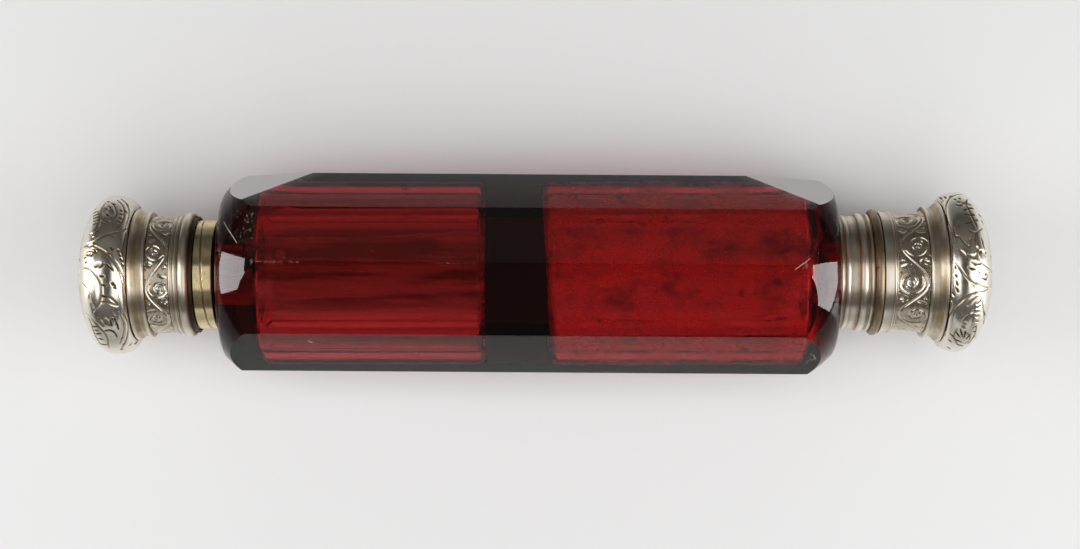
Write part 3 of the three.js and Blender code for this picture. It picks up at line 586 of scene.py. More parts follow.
LID_CROWN_TICKS = """
-65 3.9 -57 3.4 -58 4.1; -56 3.2 -54 2.5 -56 1.9; -51 3.5 -54 4.5; -44 3.7 -46 4.3;
-44 2.7 -44 3.5; -50 3.3 -48 2.8; -39 4.0 -42 4.8; -36 2.8 -38 3.7; -3 2.6 -2 3.1 -2 3.6;
4 4.5 6 5.8 2 6.6; 2 5.4 2 6.1; -5 0.7 -2 0.9; 2 0.7 4 1.1; 7 0.9 10 1.2; 12 1.0 15 1.3;
16 0.3 18 0.7; 20 0.2 24 0.6; 24 4.0 22 4.8; 27 3.9 26 4.8; 30 3.8 31 4.8; 34 4.0 35 4.8;
38 4.0 40 4.9; 44 3.9 44 4.6; 48 4.0 51 4.8; 48 1.6 54 2.4; 44 2.1 53 2.7; 46 2.9 54 2.9;
50 3.8 56 3.3; 56 1.5 60 2.9; 64 2.4 66 3.2; 73 1.2 76 1.8; 60 0.9 62 1.5; 52 0.9 55 1.5;
64 3.8 62 4.2; 58 4.4 57 5.1; -26 4.9 -22 5.3; -23 5.1 -18 5.5; -14 4.3 -16 4.8;
-14 5.4 -16 6.0; -46 5.8 -44 6.3; 34 6.0 42 6.8; 46 6.4 62 7.8; -87 0.5 -74 0.5;
-78 1.0 -70 1.1; -70 1.5 -73 1.9; -73 0.1 -70 0.6; -65 2.0 -62 2.2; -66 2.7 -63 2.8;
20 5.1 22 4.5; -52 6.1 -50 5.3
"""
LID_CROWN_LEAVES = """
-38 1.7 -33 1.8; -15 1.6 -10 2.4; 26 2.4 32 2.1; -4 3.9 1 4.4; 8 2.9 11 3.4; -58 3.2 -55 2.8;
-24 3.0 -20 3.2; -18 4.0 -15 4.2; -11 3.2 -10 3.7; -7 3.4 -5 3.9; -16 5.0 -12 5.7;
40 2.3 43 2.7; -58 2.6 -60 2.3; -55 3.7 -58 4.2; 38 2.6 40 2.5; 30 3.2 28 3.7
"""

# Half width, depth and tarnish of each kind of cut
LINE = (0.15, 0.10, 0.6)
FINE_LINE = (0.12, 0.06, 0.6)
TICK = (0.15, 0.11, 1.0)
SCROLL = (0.19, 0.13, -1.0)
LEAF = (0.30, 0.10, -1.0)
BERRY = (0.24, 0.09, -1.0)

# A cut reaches this many rows and columns of the grid to each side
REACH_ROWS = 4
REACH_COLUMNS = 6

# The flower at a crown's tip: its leaves, and how far its two rings lie from the tip
TIP_LEAVES = 12
TIP_DISC = 4.4
TIP_RING = 8.2


def strokes_in(text):
    """The strokes of a list as arrays of (angle, length)."""
    return [np.array(run.split(), float).reshape(-1, 2) for run in text.split(";")]


def flowing(points, per_leg=26):
    """A smooth line through its points, with a cubic of Catmull-Rom form for each leg."""
    p = np.concatenate([2 * points[:1] - points[1:2], points, 2 * points[-1:] - points[-2:-1]])
    t = np.linspace(0, 1, per_leg, endpoint=False)[None, :, None]
    a, b, c, d = (p[k : len(p) - 3 + k][:, None] for k in range(4))
    legs = (2 * b + (c - a) * t + (2 * a - 5 * b + 4 * c - d) * t**2
            + (3 * b - a - 3 * c + d) * t**3) / 2
    return np.concatenate([legs.reshape(-1, 2), points[-1:]])


def cuts(runs, kind, repeats=1, swell=0.5):
    """Samples of (angle, length, half width, depth, tarnish) along each stroke. The graver goes
    in and comes out: width and depth swell with the sine of the way along, to a power."""
    half_width, depth, tarnish = kind
    samples = []
    for run in runs:
        line = flowing(run)
        force = np.sin(np.pi * np.linspace(0.06, 0.94, len(line))) ** swell
        one = np.column_stack([np.radians(line[:, 0]), line[:, 1], half_width * force,
                               depth * force, np.full(len(line), tarnish)])
        for k in range(repeats):
            samples.append(one + [TURN * k / repeats, 0, 0, 0, 0])
    return np.concatenate(samples)


def engrave(samples, lengths, radii, around, ground=0.0):
    """Depth and tarnish over a grid of lengths along a profile and even angles. A sample
    presses a round cut, its depth times 1 - (distance / half width)^2, and the deepest wins.
    Its stain is even, with a narrow soft edge. Tarnish below 0 polishes the ground away."""
    step, turn = lengths[1] - lengths[0], TURN / around
    angle, length, width, depth, tarnish = (samples[:, k, None, None] for k in range(5))
    row = np.round(length / step).astype(int) + np.arange(-REACH_ROWS, REACH_ROWS + 1)[:, None]
    column = np.round(angle / turn).astype(int) + np.arange(-REACH_COLUMNS, REACH_COLUMNS + 1)
    radius = np.interp(samples[:, 1], lengths, radii)[:, None, None]
    away = ((column * turn - angle) * radius) ** 2 + (row * step - length) ** 2
    share = 1 - away / (width**2 + 1e-9)
    hit = (share > 0) & (row >= 0) & (row < len(lengths))
    spot = (np.broadcast_to(row, hit.shape)[hit], np.broadcast_to(column, hit.shape)[hit] % around)
    deep = np.zeros((len(lengths), around))
    stain, polish = deep.copy(), deep.copy()
    np.maximum.at(deep, spot, (depth * share)[hit])
    solid = np.clip(3 * share, 0, 1)
    np.maximum.at(stain, spot, (tarnish * solid)[hit])
    np.maximum.at(polish, spot, (-tarnish * solid)[hit])
    return deep, np.where(polish > 0.05, 0, np.maximum(stain, ground))


def spiral(angle, length, radius, size, start, turns):
    """A volute: its size shrinks evenly to a sixth while it winds."""
    t = np.linspace(0, 1, 40)
    wound = np.radians(start) + TURN * turns * t
    reach = size * (1 - 0.83 * t)
    return np.stack([angle + np.degrees(reach * np.cos(wound) / radius),
                     length + reach * np.sin(wound)], -1)


def leaf_at(angle, length, radius, way, size):
    """A leaf from a point, out along a way given in degrees: three points in a line."""
    way = np.radians(way)
    share = np.linspace(0, 1, 3)[:, None]
    outward = np.array([math.degrees(1 / radius) * math.cos(way), math.sin(way)])
    return np.array([angle, length]) + share * size * outward


def vine(waves, phase, radius, width, size):
    """A running vine: a cosine wave across the band, with a double volute in the hollow of each
    half wave, leaves and berries beside it, and a row of ticks along both edges."""
    turn = np.linspace(0, 360, 24 * waves + 1)
    swing = 0.42 * width * np.cos(np.radians(waves * (turn - phase)))
    lines, leaves, berries, ticks = [np.stack([turn, width / 2 + swing], -1)], [], [], []
    for k in range(2 * waves):
        out = 1 if k % 2 == 0 else -1
        middle = phase + 180 * k / waves
        centre = width / 2 - 0.12 * out * width
        lines.append(spiral(middle, centre, radius, size, 90 * out + 25, -1.5 * out))
        lines.append(spiral(middle, centre, radius, size * 0.42, 90 * out - 130, 1.0 * out))
        after = middle + math.degrees(1.3 * size / radius)
        before = middle - math.degrees(1.35 * size / radius)
        for way, reach in ((-60, 0.62), (-90, 0.8), (-120, 0.62)):
            leaves.append(leaf_at(after, centre - 0.25 * out, radius, way * out,
                                  reach * size * 0.75))
        leaves.append(leaf_at(before, centre, radius, -75 * out, 0.7 * size))
        berries.append(leaf_at(middle + 2, centre + 0.1 * out, radius, 45, 0.12))
        berries.append(leaf_at(middle + 180 / waves / 2 - 3, width / 2 + 0.36 * out * width,
                               radius, 0, 0.1))
    for k in range(72):
        edge = 0.18 if k % 2 == 0 else width - 0.18
        ticks.append(leaf_at(5 * k, edge - 0.13, radius, 70, 0.3))
    return np.concatenate([cuts(lines, SCROLL, swell=0.05), cuts(leaves, LEAF),
                           cuts(berries, BERRY), cuts(ticks, FINE_LINE)])


def tip_flower(end):
    """Ring of leaves round a plain disc at the tip of a crown, whose profile ends there."""
    turn = np.linspace(0, 360, 97)
    rings = [np.stack([turn, np.full(97, end - r)], -1) for r in (TIP_DISC, TIP_RING)]
    petals, veins, ticks = [], [], []
    side = 180 / TIP_LEAVES
    for k in range(TIP_LEAVES):
        middle = 360 * (k + 0.5) / TIP_LEAVES
        petals.append(np.array([[middle, end - 4.9], [middle + 2, end - 6.2],
                                [middle, end - 7.6]]))
        veins.append(np.array([[middle - side, end - 4.6], [middle - side * 0.3, end - 6.6],
                               [middle, end - 7.9], [middle + side * 0.3, end - 6.6],
                               [middle + side, end - 4.6]]))
        ticks.append(np.array([[middle + side, end - 7.0], [middle + side, end - 7.7]]))
    return np.concatenate([cuts(rings, LINE, swell=0), cuts(petals, LEAF),
                           cuts(veins, FINE_LINE, swell=0.1), cuts(ticks, TICK)])


# Glass body

# Spacing of the section's points in degrees, rows along each part of an end, the angle between
# faces past which an edge stays crisp, and the steps of a search by halving
SECTION_STEP = 1.1
FACET_ROWS = 12
CUT_ROWS = 6
SHOULDER_ROWS = 12
GLASS_CRISP = 11
HALVINGS = 40


def shoulder_point(turn):
    """Station and radius of the turned blank where its surface leans by an angle: first on the
    dome, then on the rounding that runs into the end plane."""
    on_dome = turn < EDGE_TURN
    along = np.where(on_dome, DOME_START + SHOULDER_DOME * np.sin(turn),
                     HALF_BODY - SHOULDER_EDGE + SHOULDER_EDGE * np.sin(turn))
    radius = np.where(on_dome, SHOULDER_RADIUS - SHOULDER_DOME * (1 - np.cos(turn)),
                      END_RADIUS + SHOULDER_EDGE * np.cos(turn))
    return along, radius


def shoulder_turn(station):
    """How far the blank's surface leans at a station."""
    on_dome = np.arcsin(np.clip((station - DOME_START) / SHOULDER_DOME, 0, 1))
    on_edge = np.arcsin(np.clip((station - HALF_BODY + SHOULDER_EDGE) / SHOULDER_EDGE, -1, 1))
    return np.where(on_dome < EDGE_TURN, on_dome, on_edge)


def blank_radius(x):
    """Radius of the turned blank: full in the middle, with a dome at each end."""
    return shoulder_point(shoulder_turn(np.abs(x)))[1]


def cut_section():
    """Once round the nine-sided section: along each side at even angles about the axis, with a
    narrow bevel at each cut edge."""
    points = []
    edges = np.radians(np.array(CUT_EDGES + [CUT_EDGES[0] + 360], float))
    corners = EDGE_RADIUS * np.stack([-np.sin(edges), np.cos(edges)], -1)
    for i in range(len(CUT_EDGES)):
        a, b = corners[i], corners[i + 1]
        along = (b - a) / np.linalg.norm(b - a)
        a, b = a + along * EDGE_BEVEL, b - along * EDGE_BEVEL
        count = int(round(math.degrees(edges[i + 1] - edges[i]) / SECTION_STEP))
        normal = np.array([along[1], -along[0]])
        distance = a @ normal
        spread = np.linspace(math.atan2(a @ along, distance), math.atan2(b @ along, distance),
                             count)
        points.append(distance * normal + np.outer(distance * np.tan(spread), along))
    return np.concatenate(points)


def stretched(angle):
    """How much further out the blank lies at an angle: its section is an ellipse."""
    return 1 / np.hypot(np.cos(angle), np.sin(angle) / SHOULDER_SIDE_STRETCH)


def prism_point(along, across, up):
    """A point of the prism, whose +X end is turned a little towards -Y."""
    c, s = math.cos(FACET_YAW), math.sin(FACET_YAW)
    along = np.broadcast_to(along, np.shape(across))
    return np.stack([along * c + across * s, -along * s + across * c, up], -1)


def corner_plane(side):
    """Normal and distance of the flat cut across the end of the first long edge. It meets the
    end plane a little way down the outer facet."""
    edges = np.radians([CUT_EDGES[0], CUT_EDGES[1], CUT_EDGES[0], CUT_EDGES[-1]])
    back = np.array([CHAMFER_LENGTH, CHAMFER_TOP_LENGTH, 0, 0])
    three = prism_point(
        side * (HALF_BODY - back), -EDGE_RADIUS * np.sin(edges), EDGE_RADIUS * np.cos(edges)
    )
    down = three[3] - three[2]
    three[2] += CHAMFER_DEPTH * down / np.linalg.norm(down)
    normal = np.cross(three[1] - three[0], three[2] - three[0])
    normal /= np.linalg.norm(normal)
    normal *= np.sign(normal @ three[0])
    return normal, normal @ three[0]


def halved(test, low, high):
    """Where a rising test passes zero between low and high, by halving, for every column."""
    for _ in range(HALVINGS):
        middle = (low + high) / 2
        past = test(middle) > 0
        low, high = np.where(past, low, middle), np.where(past, middle, high)
    return (low + high) / 2


def glass_end(side, section):
    """From the middle of the facets out to the end plane, for every column: along the facet,
    down the corner cut where there is one, and round the shoulder. Returns the rows and each
    column's angle at the end."""
    across, up = section.T

    def on_facet(x):
        return prism_point(side * x, across, up)

    def past_blank(x):
        p = on_facet(x)
        return np.hypot(p[:, 1] / SHOULDER_SIDE_STRETCH, p[:, 2]) - blank_radius(p[:, 0])

    crease = halved(past_blank, np.full(len(across), 20.0), np.full(len(across), HALF_BODY))
    normal, distance = corner_plane(side)
    past_cut = halved(
        lambda x: on_facet(x) @ normal - distance,
        np.full(len(across), 20.0),
        np.full(len(across), HALF_BODY + 30),
    )
    facet_end = np.minimum(crease, past_cut)
    p = on_facet(facet_end)
    angle = np.arctan2(-p[:, 1], p[:, 2])
    ray = np.stack([np.zeros_like(angle), -np.sin(angle), np.cos(angle)], -1)
    start = np.abs(p[:, 0])

    def cut_radius(x):
        return (distance - normal[0] * side * x) / (ray @ normal)

    has_cut = past_cut < crease
    stretch = stretched(angle)
    meets = halved(lambda x: cut_radius(x) - blank_radius(x) * stretch, start,
                   np.full(len(start), HALF_BODY))
    cut_end = np.where(has_cut, meets, start)
    rows = [on_facet(facet_end * share) for share in np.linspace(0, 1, FACET_ROWS + 1)]
    for share in np.linspace(0, 1, CUT_ROWS + 1)[1:]:
        x = start + (cut_end - start) * share
        r = np.where(has_cut, cut_radius(x), np.hypot(p[:, 1], p[:, 2]))
        rows.append(np.stack([side * x, ray[:, 1] * r, ray[:, 2] * r], -1))
    turn = shoulder_turn(cut_end)
    bend = np.maximum(turn, EDGE_TURN)
    shares = np.linspace(0, 1, SHOULDER_ROWS + 1)[1:]
    turns = [turn + (bend - turn) * share for share in shares]
    turns += [bend + (np.pi / 2 - bend) * share for share in shares]
    for t in turns:
        x, r = shoulder_point(t)
        r = r * stretch
        rows.append(np.stack([side * x, ray[:, 1] * r, ray[:, 2] * r], -1))
    return np.array(rows), angle


def neck_and_chamber(side, angle, neck_end, chamber):
    """From the end plane out along the neck, in through its bore and round the chamber to the
    middle of its floor. The right chamber's floor slants a little."""
    end, floor = abs(chamber[0]), chamber[1]
    outward = side * floor
    mouth = neck_end - NECK_END_ROUND
    tip = arc(mouth, NECK_RADIUS - NECK_END_ROUND, NECK_END_ROUND, NECK_END_ROUND, 90, 0, 5)
    bore_tip = arc(mouth, NECK_BORE + NECK_END_ROUND, NECK_END_ROUND, -NECK_END_ROUND, 0, 90, 5)
    if side == LEFT:
        lip = arc(HALF_BODY + LIP_LENGTH / 2, LIP_RADIUS - 0.3, LIP_LENGTH / 2, 0.3, 180, 0, 10)
        start = [lip, [HALF_BODY + LIP_LENGTH, NECK_RADIUS]]
    else:
        start = [[HALF_BODY, END_RADIUS - 0.4], [HALF_BODY, NECK_RADIUS]]
    end_round = arc(end - CHAMBER_END_ROUND, NECK_BORE, CHAMBER_END_ROUND,
                    CHAMBER_RADIUS - NECK_BORE, 0, 90, 20)
    wall = np.stack([np.linspace(end - CHAMBER_END_ROUND, outward + SEPTUM_ROUND, 12),
                     np.full(12, CHAMBER_RADIUS)], -1)
    corner = arc(outward + SEPTUM_ROUND, CHAMBER_RADIUS - SEPTUM_ROUND, -SEPTUM_ROUND,
                 SEPTUM_ROUND, 90, 0, 10)
    disc = np.stack([np.full(6, outward), np.linspace(CHAMBER_RADIUS - SEPTUM_ROUND, 0, 6)], -1)
    profile = path(*start, tip, bore_tip, end_round, wall, corner, disc)
    x, r = profile[:, :1], profile[:, 1:]
    y, z = -r * np.sin(angle), r * np.cos(angle)
    slant = np.clip((outward + 9 - x) / 9, 0, 1) ** 3 * SEPTUM_SLANT if side == RIGHT else 0
    deep = (x < end) * (r <= CHAMBER_RADIUS)
    return np.stack([side * x - y * slant * deep, y, z], -1)


def glass_body():
    """The whole glass as one closed skin, from the floor of the left chamber out round the
    glass to the floor of the right one."""
    section = cut_section()
    low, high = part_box("glass_body")
    left, left_angle = glass_end(LEFT, section)
    right, right_angle = glass_end(RIGHT, section)
    left_inside = neck_and_chamber(LEFT, left_angle, -low.x / MM, LEFT_CHAMBER)
    right_inside = neck_and_chamber(RIGHT, right_angle, high.x / MM, RIGHT_CHAMBER)
    grid = np.concatenate([left_inside[::-1], left[::-1], right[1:], right_inside])
    grid[..., 2] += AXIS_HEIGHT
    piece = skin("ruby_glass_body", grid, poles=(True, True), sharp=GLASS_CRISP)
    without_loose_points(piece)
    smooth(piece.data, GLASS_CRISP)
    return piece


fit(glass_body(), "bottle", ["glass_body"], ruby_glass())


# Wear on the glass, and painted highlights on it

# Fine scratches as runs of plan points, X and Y in millimetres. The first two runs are painted
# highlights: pale lines where a thin edge's reflection shows.
SCRATCHES_AND_GLINTS = """
-42.05 7.23 -41.3 6.2 -40.5 5.2 -39.8 4.23; 36.35 0.41 37.0 0.9 37.8 1.45 38.4 1.88;
-30.5 -9.2 -29.9 -9.5
"""
HAIR_SCRATCHES = "39.2 -11.4 39.9 -11.7 39.8 -12.3 39.4 -12.2 38.9 -12.8; 39.7 -11.6 40.2 -12.2"
GLINT_AND_SCRATCH_HALF_WIDTH = 0.045
FLECK_HALF_WIDTH = 0.025
FLECK_SEED = 7

# A sliver's points are its start and end, its left and right, its top and its bottom. This is
# how far each stands above the glass in millimetres, and the faces between them.
SLIVER_RISE = np.array([0.004, 0.004, 0.002, 0.002, 0.016, -0.03])
SLIVER_FACES = np.array([[0, 3, 4], [3, 1, 4], [1, 2, 4], [2, 0, 4],
                         [0, 5, 3], [3, 5, 1], [1, 5, 2], [2, 5, 0]])


def glass_top(x, y):
    """Height of the glass over points in plan: the lowest of its upper facets and its domes."""
    across = x * math.sin(FACET_YAW) + y * math.cos(FACET_YAW)
    edges = np.radians(CUT_EDGES[:5])
    middle, half = (edges[1:] + edges[:-1]) / 2, (edges[1:] - edges[:-1]) / 2
    facets = (EDGE_RADIUS * np.cos(half) + across[..., None] * np.sin(middle)) / np.cos(middle)
    dome = np.sqrt(np.maximum(blank_radius(x) ** 2 - (y / SHOULDER_SIDE_STRETCH) ** 2, 0))
    return AXIS_HEIGHT + np.minimum(facets.min(-1), dome)


def edge_across(station):
    """How far across the long edge nearest the middle lies at a station."""
    return -EDGE_RADIUS * math.sin(math.radians(CUT_EDGES[2])) - math.tan(FACET_YAW) * station


def flecks(count, x_range, y_range, longest, way=0.0):
    """Tiny marks scattered over a patch, as start and end points in plan. Way is the angle that
    they lean to, in degrees."""
    chance = np.random.default_rng(FLECK_SEED + count)
    x, y = chance.uniform(*x_range, count), chance.uniform(*y_range, count)
    angle = np.radians(way) + chance.normal(0, 0.5, count)
    reach = longest * chance.uniform(0.2, 1, count) ** 2 + 0.05
    start = np.stack([x, y], -1)
    return start, start + np.stack([np.cos(angle), np.sin(angle)], -1) * reach[:, None]


def surface_marks():
    """Scratches and chips, and two painted highlights drawn as long pale lines, each a thin
    pointed sliver that lies just on the glass.
    """
    # The runs hold the long scratches and the painted highlight lines
    runs = [flowing(run, 4) for run in strokes_in(SCRATCHES_AND_GLINTS)]
    hairs = [flowing(run, 4) for run in strokes_in(HAIR_SCRATCHES)]
    near_left, near_middle = edge_across(-34), edge_across(-9.5)
    scattered = [
        flecks(46, (-41.2, -37.6), (4.4, 8.7), 0.3, 50),
        flecks(26, (-37.2, -31.0), (near_left - 0.09, near_left + 0.09), 0.16),
        flecks(12, (-12.5, -7.0), (near_middle - 0.08, near_middle + 0.08), 0.12),
        flecks(16, (-38.0, 38.0), (-12.5, 11.0), 0.10, 90),
        flecks(9, (37.0, 41.5), (-11.5, 6.0), 0.10, 30),
    ]
    start = np.concatenate([run[:-1] for run in runs + hairs] + [pair[0] for pair in scattered])
    end = np.concatenate([run[1:] for run in runs + hairs] + [pair[1] for pair in scattered])
    long_ones = sum(len(run) - 1 for run in runs)
    width = np.full((len(start), 1), FLECK_HALF_WIDTH)
    width[:long_ones] = GLINT_AND_SCRATCH_HALF_WIDTH
    along = end - start
    along /= np.linalg.norm(along, axis=1, keepdims=True)
    start[:long_ones] -= 0.03 * along[:long_ones]
    middle = (start + end) / 2
    left = middle + np.stack([-along[:, 1], along[:, 0]], -1) * width
    plan = np.stack([start, end, left, 2 * middle - left, middle, middle], 1)
    height = glass_top(plan[..., 0], plan[..., 1]) + SLIVER_RISE
    points = np.concatenate([plan, height[..., None]], -1) * MM
    first = len(SLIVER_RISE) * np.arange(len(start))[:, None, None]
    faces = (SLIVER_FACES + first).reshape(-1, 3)
    mesh = bpy.data.meshes.new("surface_scratches")
    mesh.from_pydata(points.reshape(-1, 3).tolist(), [], faces.tolist())
    mesh.update()
    return placed("surface_scratches", mesh)


marks = surface_marks()
marks.data.materials.append(SCRATCH_AND_GLINT_FINISH)
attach(marks, "bottle")


# Screw end: gilt collar and the screw cap

# The thread, the gilt band and the fine spiral line on it, in millimetres
THREAD_PITCH = 1.2
THREAD_TURNS = 2.75
THREAD_DEPTH = 0.6
THREAD_ROOT = 0.64
THREAD_CREST = 0.24
THREAD_FADE = 0.25
BAND_LENGTH = 2.68
BAND_LINE_PITCH = 2.3
BAND_LINE_START = -45.6
BAND_LINE_DEPTH = 0.07
THREAD_AROUND = 320
THREAD_STEP = 0.055

# The crowns and drums: their form, and the spacing of the points that their engraving is cut in
CROWN_SQUARENESS = 0.94
CROWN_WALL = 0.5
CROWN_STEP = 0.12
CROWN_AROUND = 560
DRUM_STEP = 0.08
DRUM_AROUND = 640
DRUM_GROUND = 0.3

# Walls of plain rings, in millimetres
CEMENT_WALL = 0.3
SEAT_WALL = 0.35


def thread_rise(x, angle, start):
    """Height of a right-hand ridge at each station and angle, from 0 to 1. Its phase is the
    station in pitches, less the turn of the angle, and its ends die away."""
    turned_by = (x - start) / THREAD_PITCH
    nearest = np.round(turned_by - angle / TURN) + angle / TURN
    off = np.abs(turned_by - nearest) * THREAD_PITCH
    flank = np.clip((THREAD_ROOT / 2 - off) / (THREAD_ROOT / 2 - THREAD_CREST / 2), 0, 1)
    ends = np.clip(np.minimum(nearest, THREAD_TURNS - nearest) / THREAD_FADE, 0, 1)
    return flank * ends


def screw_collar():
    """The gilt band with its fine spiral line, and the threaded tube that the cap turns on."""
    near, far, radius = span("screw_collar")
    band_end = near + BAND_LENGTH
    core = 6.6
    band = path([near, radius - 0.12], arc(near + 0.12, radius - 0.12, 0.12, 0.12, 180, 90, 4),
                evenly(np.array([[near + 0.15, radius], [band_end - 0.15, radius]]), 0.05),
                arc(band_end - 0.12, radius - 0.12, 0.12, 0.12, 90, 0, 4), [band_end, core])
    tube = evenly(np.array([[band_end + 0.02, core], [far, core]]), THREAD_STEP)
    outer = path(band, tube)
    angle = np.arange(THREAD_AROUND) * TURN / THREAD_AROUND
    x = -outer[:, :1]
    start = -(band_end + far) / 2 - THREAD_PITCH * THREAD_TURNS / 2
    ridge = thread_rise(x, angle, start) * (outer[:, :1] > band_end + 0.01)
    ridge[-1] = 0
    on_band = (outer[:, :1] > near + 0.2) & (outer[:, :1] < band_end - 0.2)
    phase = (x - BAND_LINE_START) / BAND_LINE_PITCH - angle / TURN
    off = np.abs(phase - np.round(phase)) * BAND_LINE_PITCH
    line = np.clip(1 - (off / 0.13) ** 2, 0, 1) * on_band
    sink = BAND_LINE_DEPTH * line - THREAD_DEPTH * ridge
    return turned("gilt_screw_collar", LEFT, outer, COLLAR_BORE, THREAD_AROUND, sink, 0.6 * line)


def threaded_sleeve():
    """Gilt tube inside the cap, with the ridge that runs between the collar's turns."""
    near, far, radius = span("cap_threaded_sleeve")
    bore, tip = 7.4, 6.8
    collar_near, collar_far, _ = span("screw_collar")
    middle = (collar_near + BAND_LENGTH + collar_far) / 2
    start = -middle - THREAD_PITCH * THREAD_TURNS / 2 - THREAD_PITCH / 2
    inner = evenly(np.array([[far, bore], [near, bore]]), THREAD_STEP)
    loop = np.concatenate([[[near, radius], [far, radius]], inner])[::-1] * [-1, 1]
    angle = np.arange(THREAD_AROUND) * TURN / THREAD_AROUND
    rise = thread_rise(loop[:, :1], angle, start)
    rise[[0, -1, -2, len(inner) - 1]] = 0
    sink = np.where(loop[:, 1:] < radius, -(bore - tip) * rise, 0)
    piece = skin("cap_threaded_tube", round_points(loop, THREAD_AROUND, sink), wrap_rows=True)
    return marked(piece, 0.0)


def cap_rim():
    """Undercut edge and round bead at the mouth of the cap. The undercut, a quarter of an
    ellipse, is painted dark as shade."""
    near, far, radius = span("cap_rim_bead")
    foot = radius - 0.62
    undercut = arc(near + 0.5, foot, 0.5, foot - 8.06, 180, 270, 6)
    outer = path([near, 8.0], undercut, bead(near + 0.5, far, foot, radius, 20))
    # Painted shade: the undercut is darkened through its cut values
    dark = 0.9 * (outer[:, :1] < near + 0.52)
    return turned("cap_rim_bead_ring", LEFT, outer, CAP_BORE, cut_stain_and_shade=dark)


def cap_reeds():
    """Groove, ridge and two fine reeds between the rim bead and the drum."""
    near, far, radius = span("cap_reed_ring")
    low = radius - 0.24
    outer = path([near, low], [near + 0.16, low],
                 bead(near + 0.16, near + 0.55, low, radius - 0.05), [near + 0.68, low + 0.03],
                 bead(near + 0.72, near + 0.92, low + 0.06, radius, 8),
                 bead(near + 0.93, far, low + 0.06, radius - 0.01, 8))
    return turned("cap_reeded_ring", LEFT, outer, CAP_BORE)


def wired_band(name, side, node, bore, wire, flare, hollow):
    """A coved band with a round wire at its near edge, widening to a lip at its far edge. The
    cove widens as the way across to the power of 1.5, less half a sine."""
    near, far, radius = span(node)
    edge = radius - flare
    share = np.linspace(0, 1, 26)
    start, end = near + wire, far - 0.28
    cove = np.stack([start + (end - start) * share,
                     edge - 0.16 + (radius - 0.06 - edge + 0.16) * share**1.5
                     - hollow * np.sin(np.pi * share)], -1)
    lip = arc(far - 0.14, radius - 0.14, 0.14, 0.14, 180, 0, 8)
    outer = path([near, edge - 0.3], bead(near, near + wire, edge - 0.2, edge), cove, lip,
                 [far, radius - 0.3])
    return turned(name, side, outer, bore)


def crown_profile(node, back, neck):
    """Bun-shaped crown from its edge to its tip: a quarter of an ellipse behind the widest
    ring, and in front of it one whose sine and cosine are raised to a power."""
    near, far, radius = span(node)
    widest = near + back
    behind = arc(widest, neck, back, radius - neck, 180, 90, 30)
    front = np.radians(np.linspace(90, 0, 90))
    bulge = np.stack([widest + (far - widest) * np.cos(front) ** CROWN_SQUARENESS,
                      radius * np.sin(front) ** CROWN_SQUARENESS], -1)
    return path(behind, bulge)


def crown(name, side, node, back, neck, lines, ticks, leaves):
    """An engraved crown, hollow behind: the tip inside, the inner wall to the edge, and the
    engraved outside from the edge to the tip."""
    outer = evenly(crown_profile(node, back, neck), CROWN_STEP)
    near, far, radius = span(node)
    widest = near + back
    inner = path(arc(widest, 0, far - widest - CROWN_WALL - 0.4, radius - CROWN_WALL - 0.3,
                     0, 90, 16),
                 arc(widest, neck - CROWN_WALL, back, radius - neck - 0.1, 90, 180, 8))
    lengths = np.arange(len(outer)) * np.linalg.norm(outer[1] - outer[0])
    samples = np.concatenate([
        cuts(strokes_in(lines), LINE, repeats=2, swell=0.2),
        cuts(strokes_in(ticks), TICK, repeats=2),
        cuts(strokes_in(leaves), LEAF, repeats=2),
        tip_flower(lengths[-1]),
    ])
    deep, stain = engrave(samples, lengths, outer[:, 1], CROWN_AROUND)
    loop = np.concatenate([inner, outer])
    sink = np.concatenate([np.zeros((len(inner), CROWN_AROUND)), deep])
    stain = np.concatenate([np.full((len(inner), CROWN_AROUND), 0.6), stain])
    if side == LEFT:
        loop, sink, stain = loop[::-1] * [-1, 1], sink[::-1], stain[::-1]
    piece = skin(name, round_points(loop, CROWN_AROUND, sink), poles=(True, True), sharp=55)
    carry(piece, "cut_stain_and_shade", stain)
    carry(piece, "recess", np.clip(sink / 0.12, 0, 1))
    without_loose_points(piece)
    return piece


def engraved_drum(name, side, node, bore, foot, flare, pattern):
    """Engraved band between the plain rings and the shoulder band, flaring as the square of
    the way across."""
    near, far, _ = span(node)
    rows = int(round((far - near) / DRUM_STEP)) + 1
    share = np.linspace(0, 1, rows)
    outer = np.stack([near + (far - near) * share, foot + flare * share**2], -1)
    deep, stain = engrave(pattern, share * (far - near), outer[:, 1], DRUM_AROUND, DRUM_GROUND)
    deep[[0, -1]] = 0
    return turned(name, side, outer, bore, DRUM_AROUND, deep, stain, sharp=55)


fit(screw_collar(), "bottle", ["screw_collar"], GILT)
fit(threaded_sleeve(), "screw_cap", ["cap_threaded_sleeve"], GILT)
fit(cap_rim(), "screw_cap", ["cap_rim_bead"], SILVER)
fit(cap_reeds(), "screw_cap", ["cap_reed_ring"], SILVER)
fit(engraved_drum("engraved_cap_drum", LEFT, "cap_drum", CAP_BORE, foot=8.3, flare=0,
                  pattern=vine(waves=5, phase=14, radius=8.3, width=3.2, size=1.4)),
    "screw_cap", ["cap_drum"], ENGRAVED)
fit(wired_band("cap_coved_band", LEFT, "cap_shoulder_band", CAP_BORE, wire=0.45, flare=0.35,
               hollow=0.22), "screw_cap", ["cap_shoulder_band"], SILVER)


# Hinge end: moulded collar and the lid

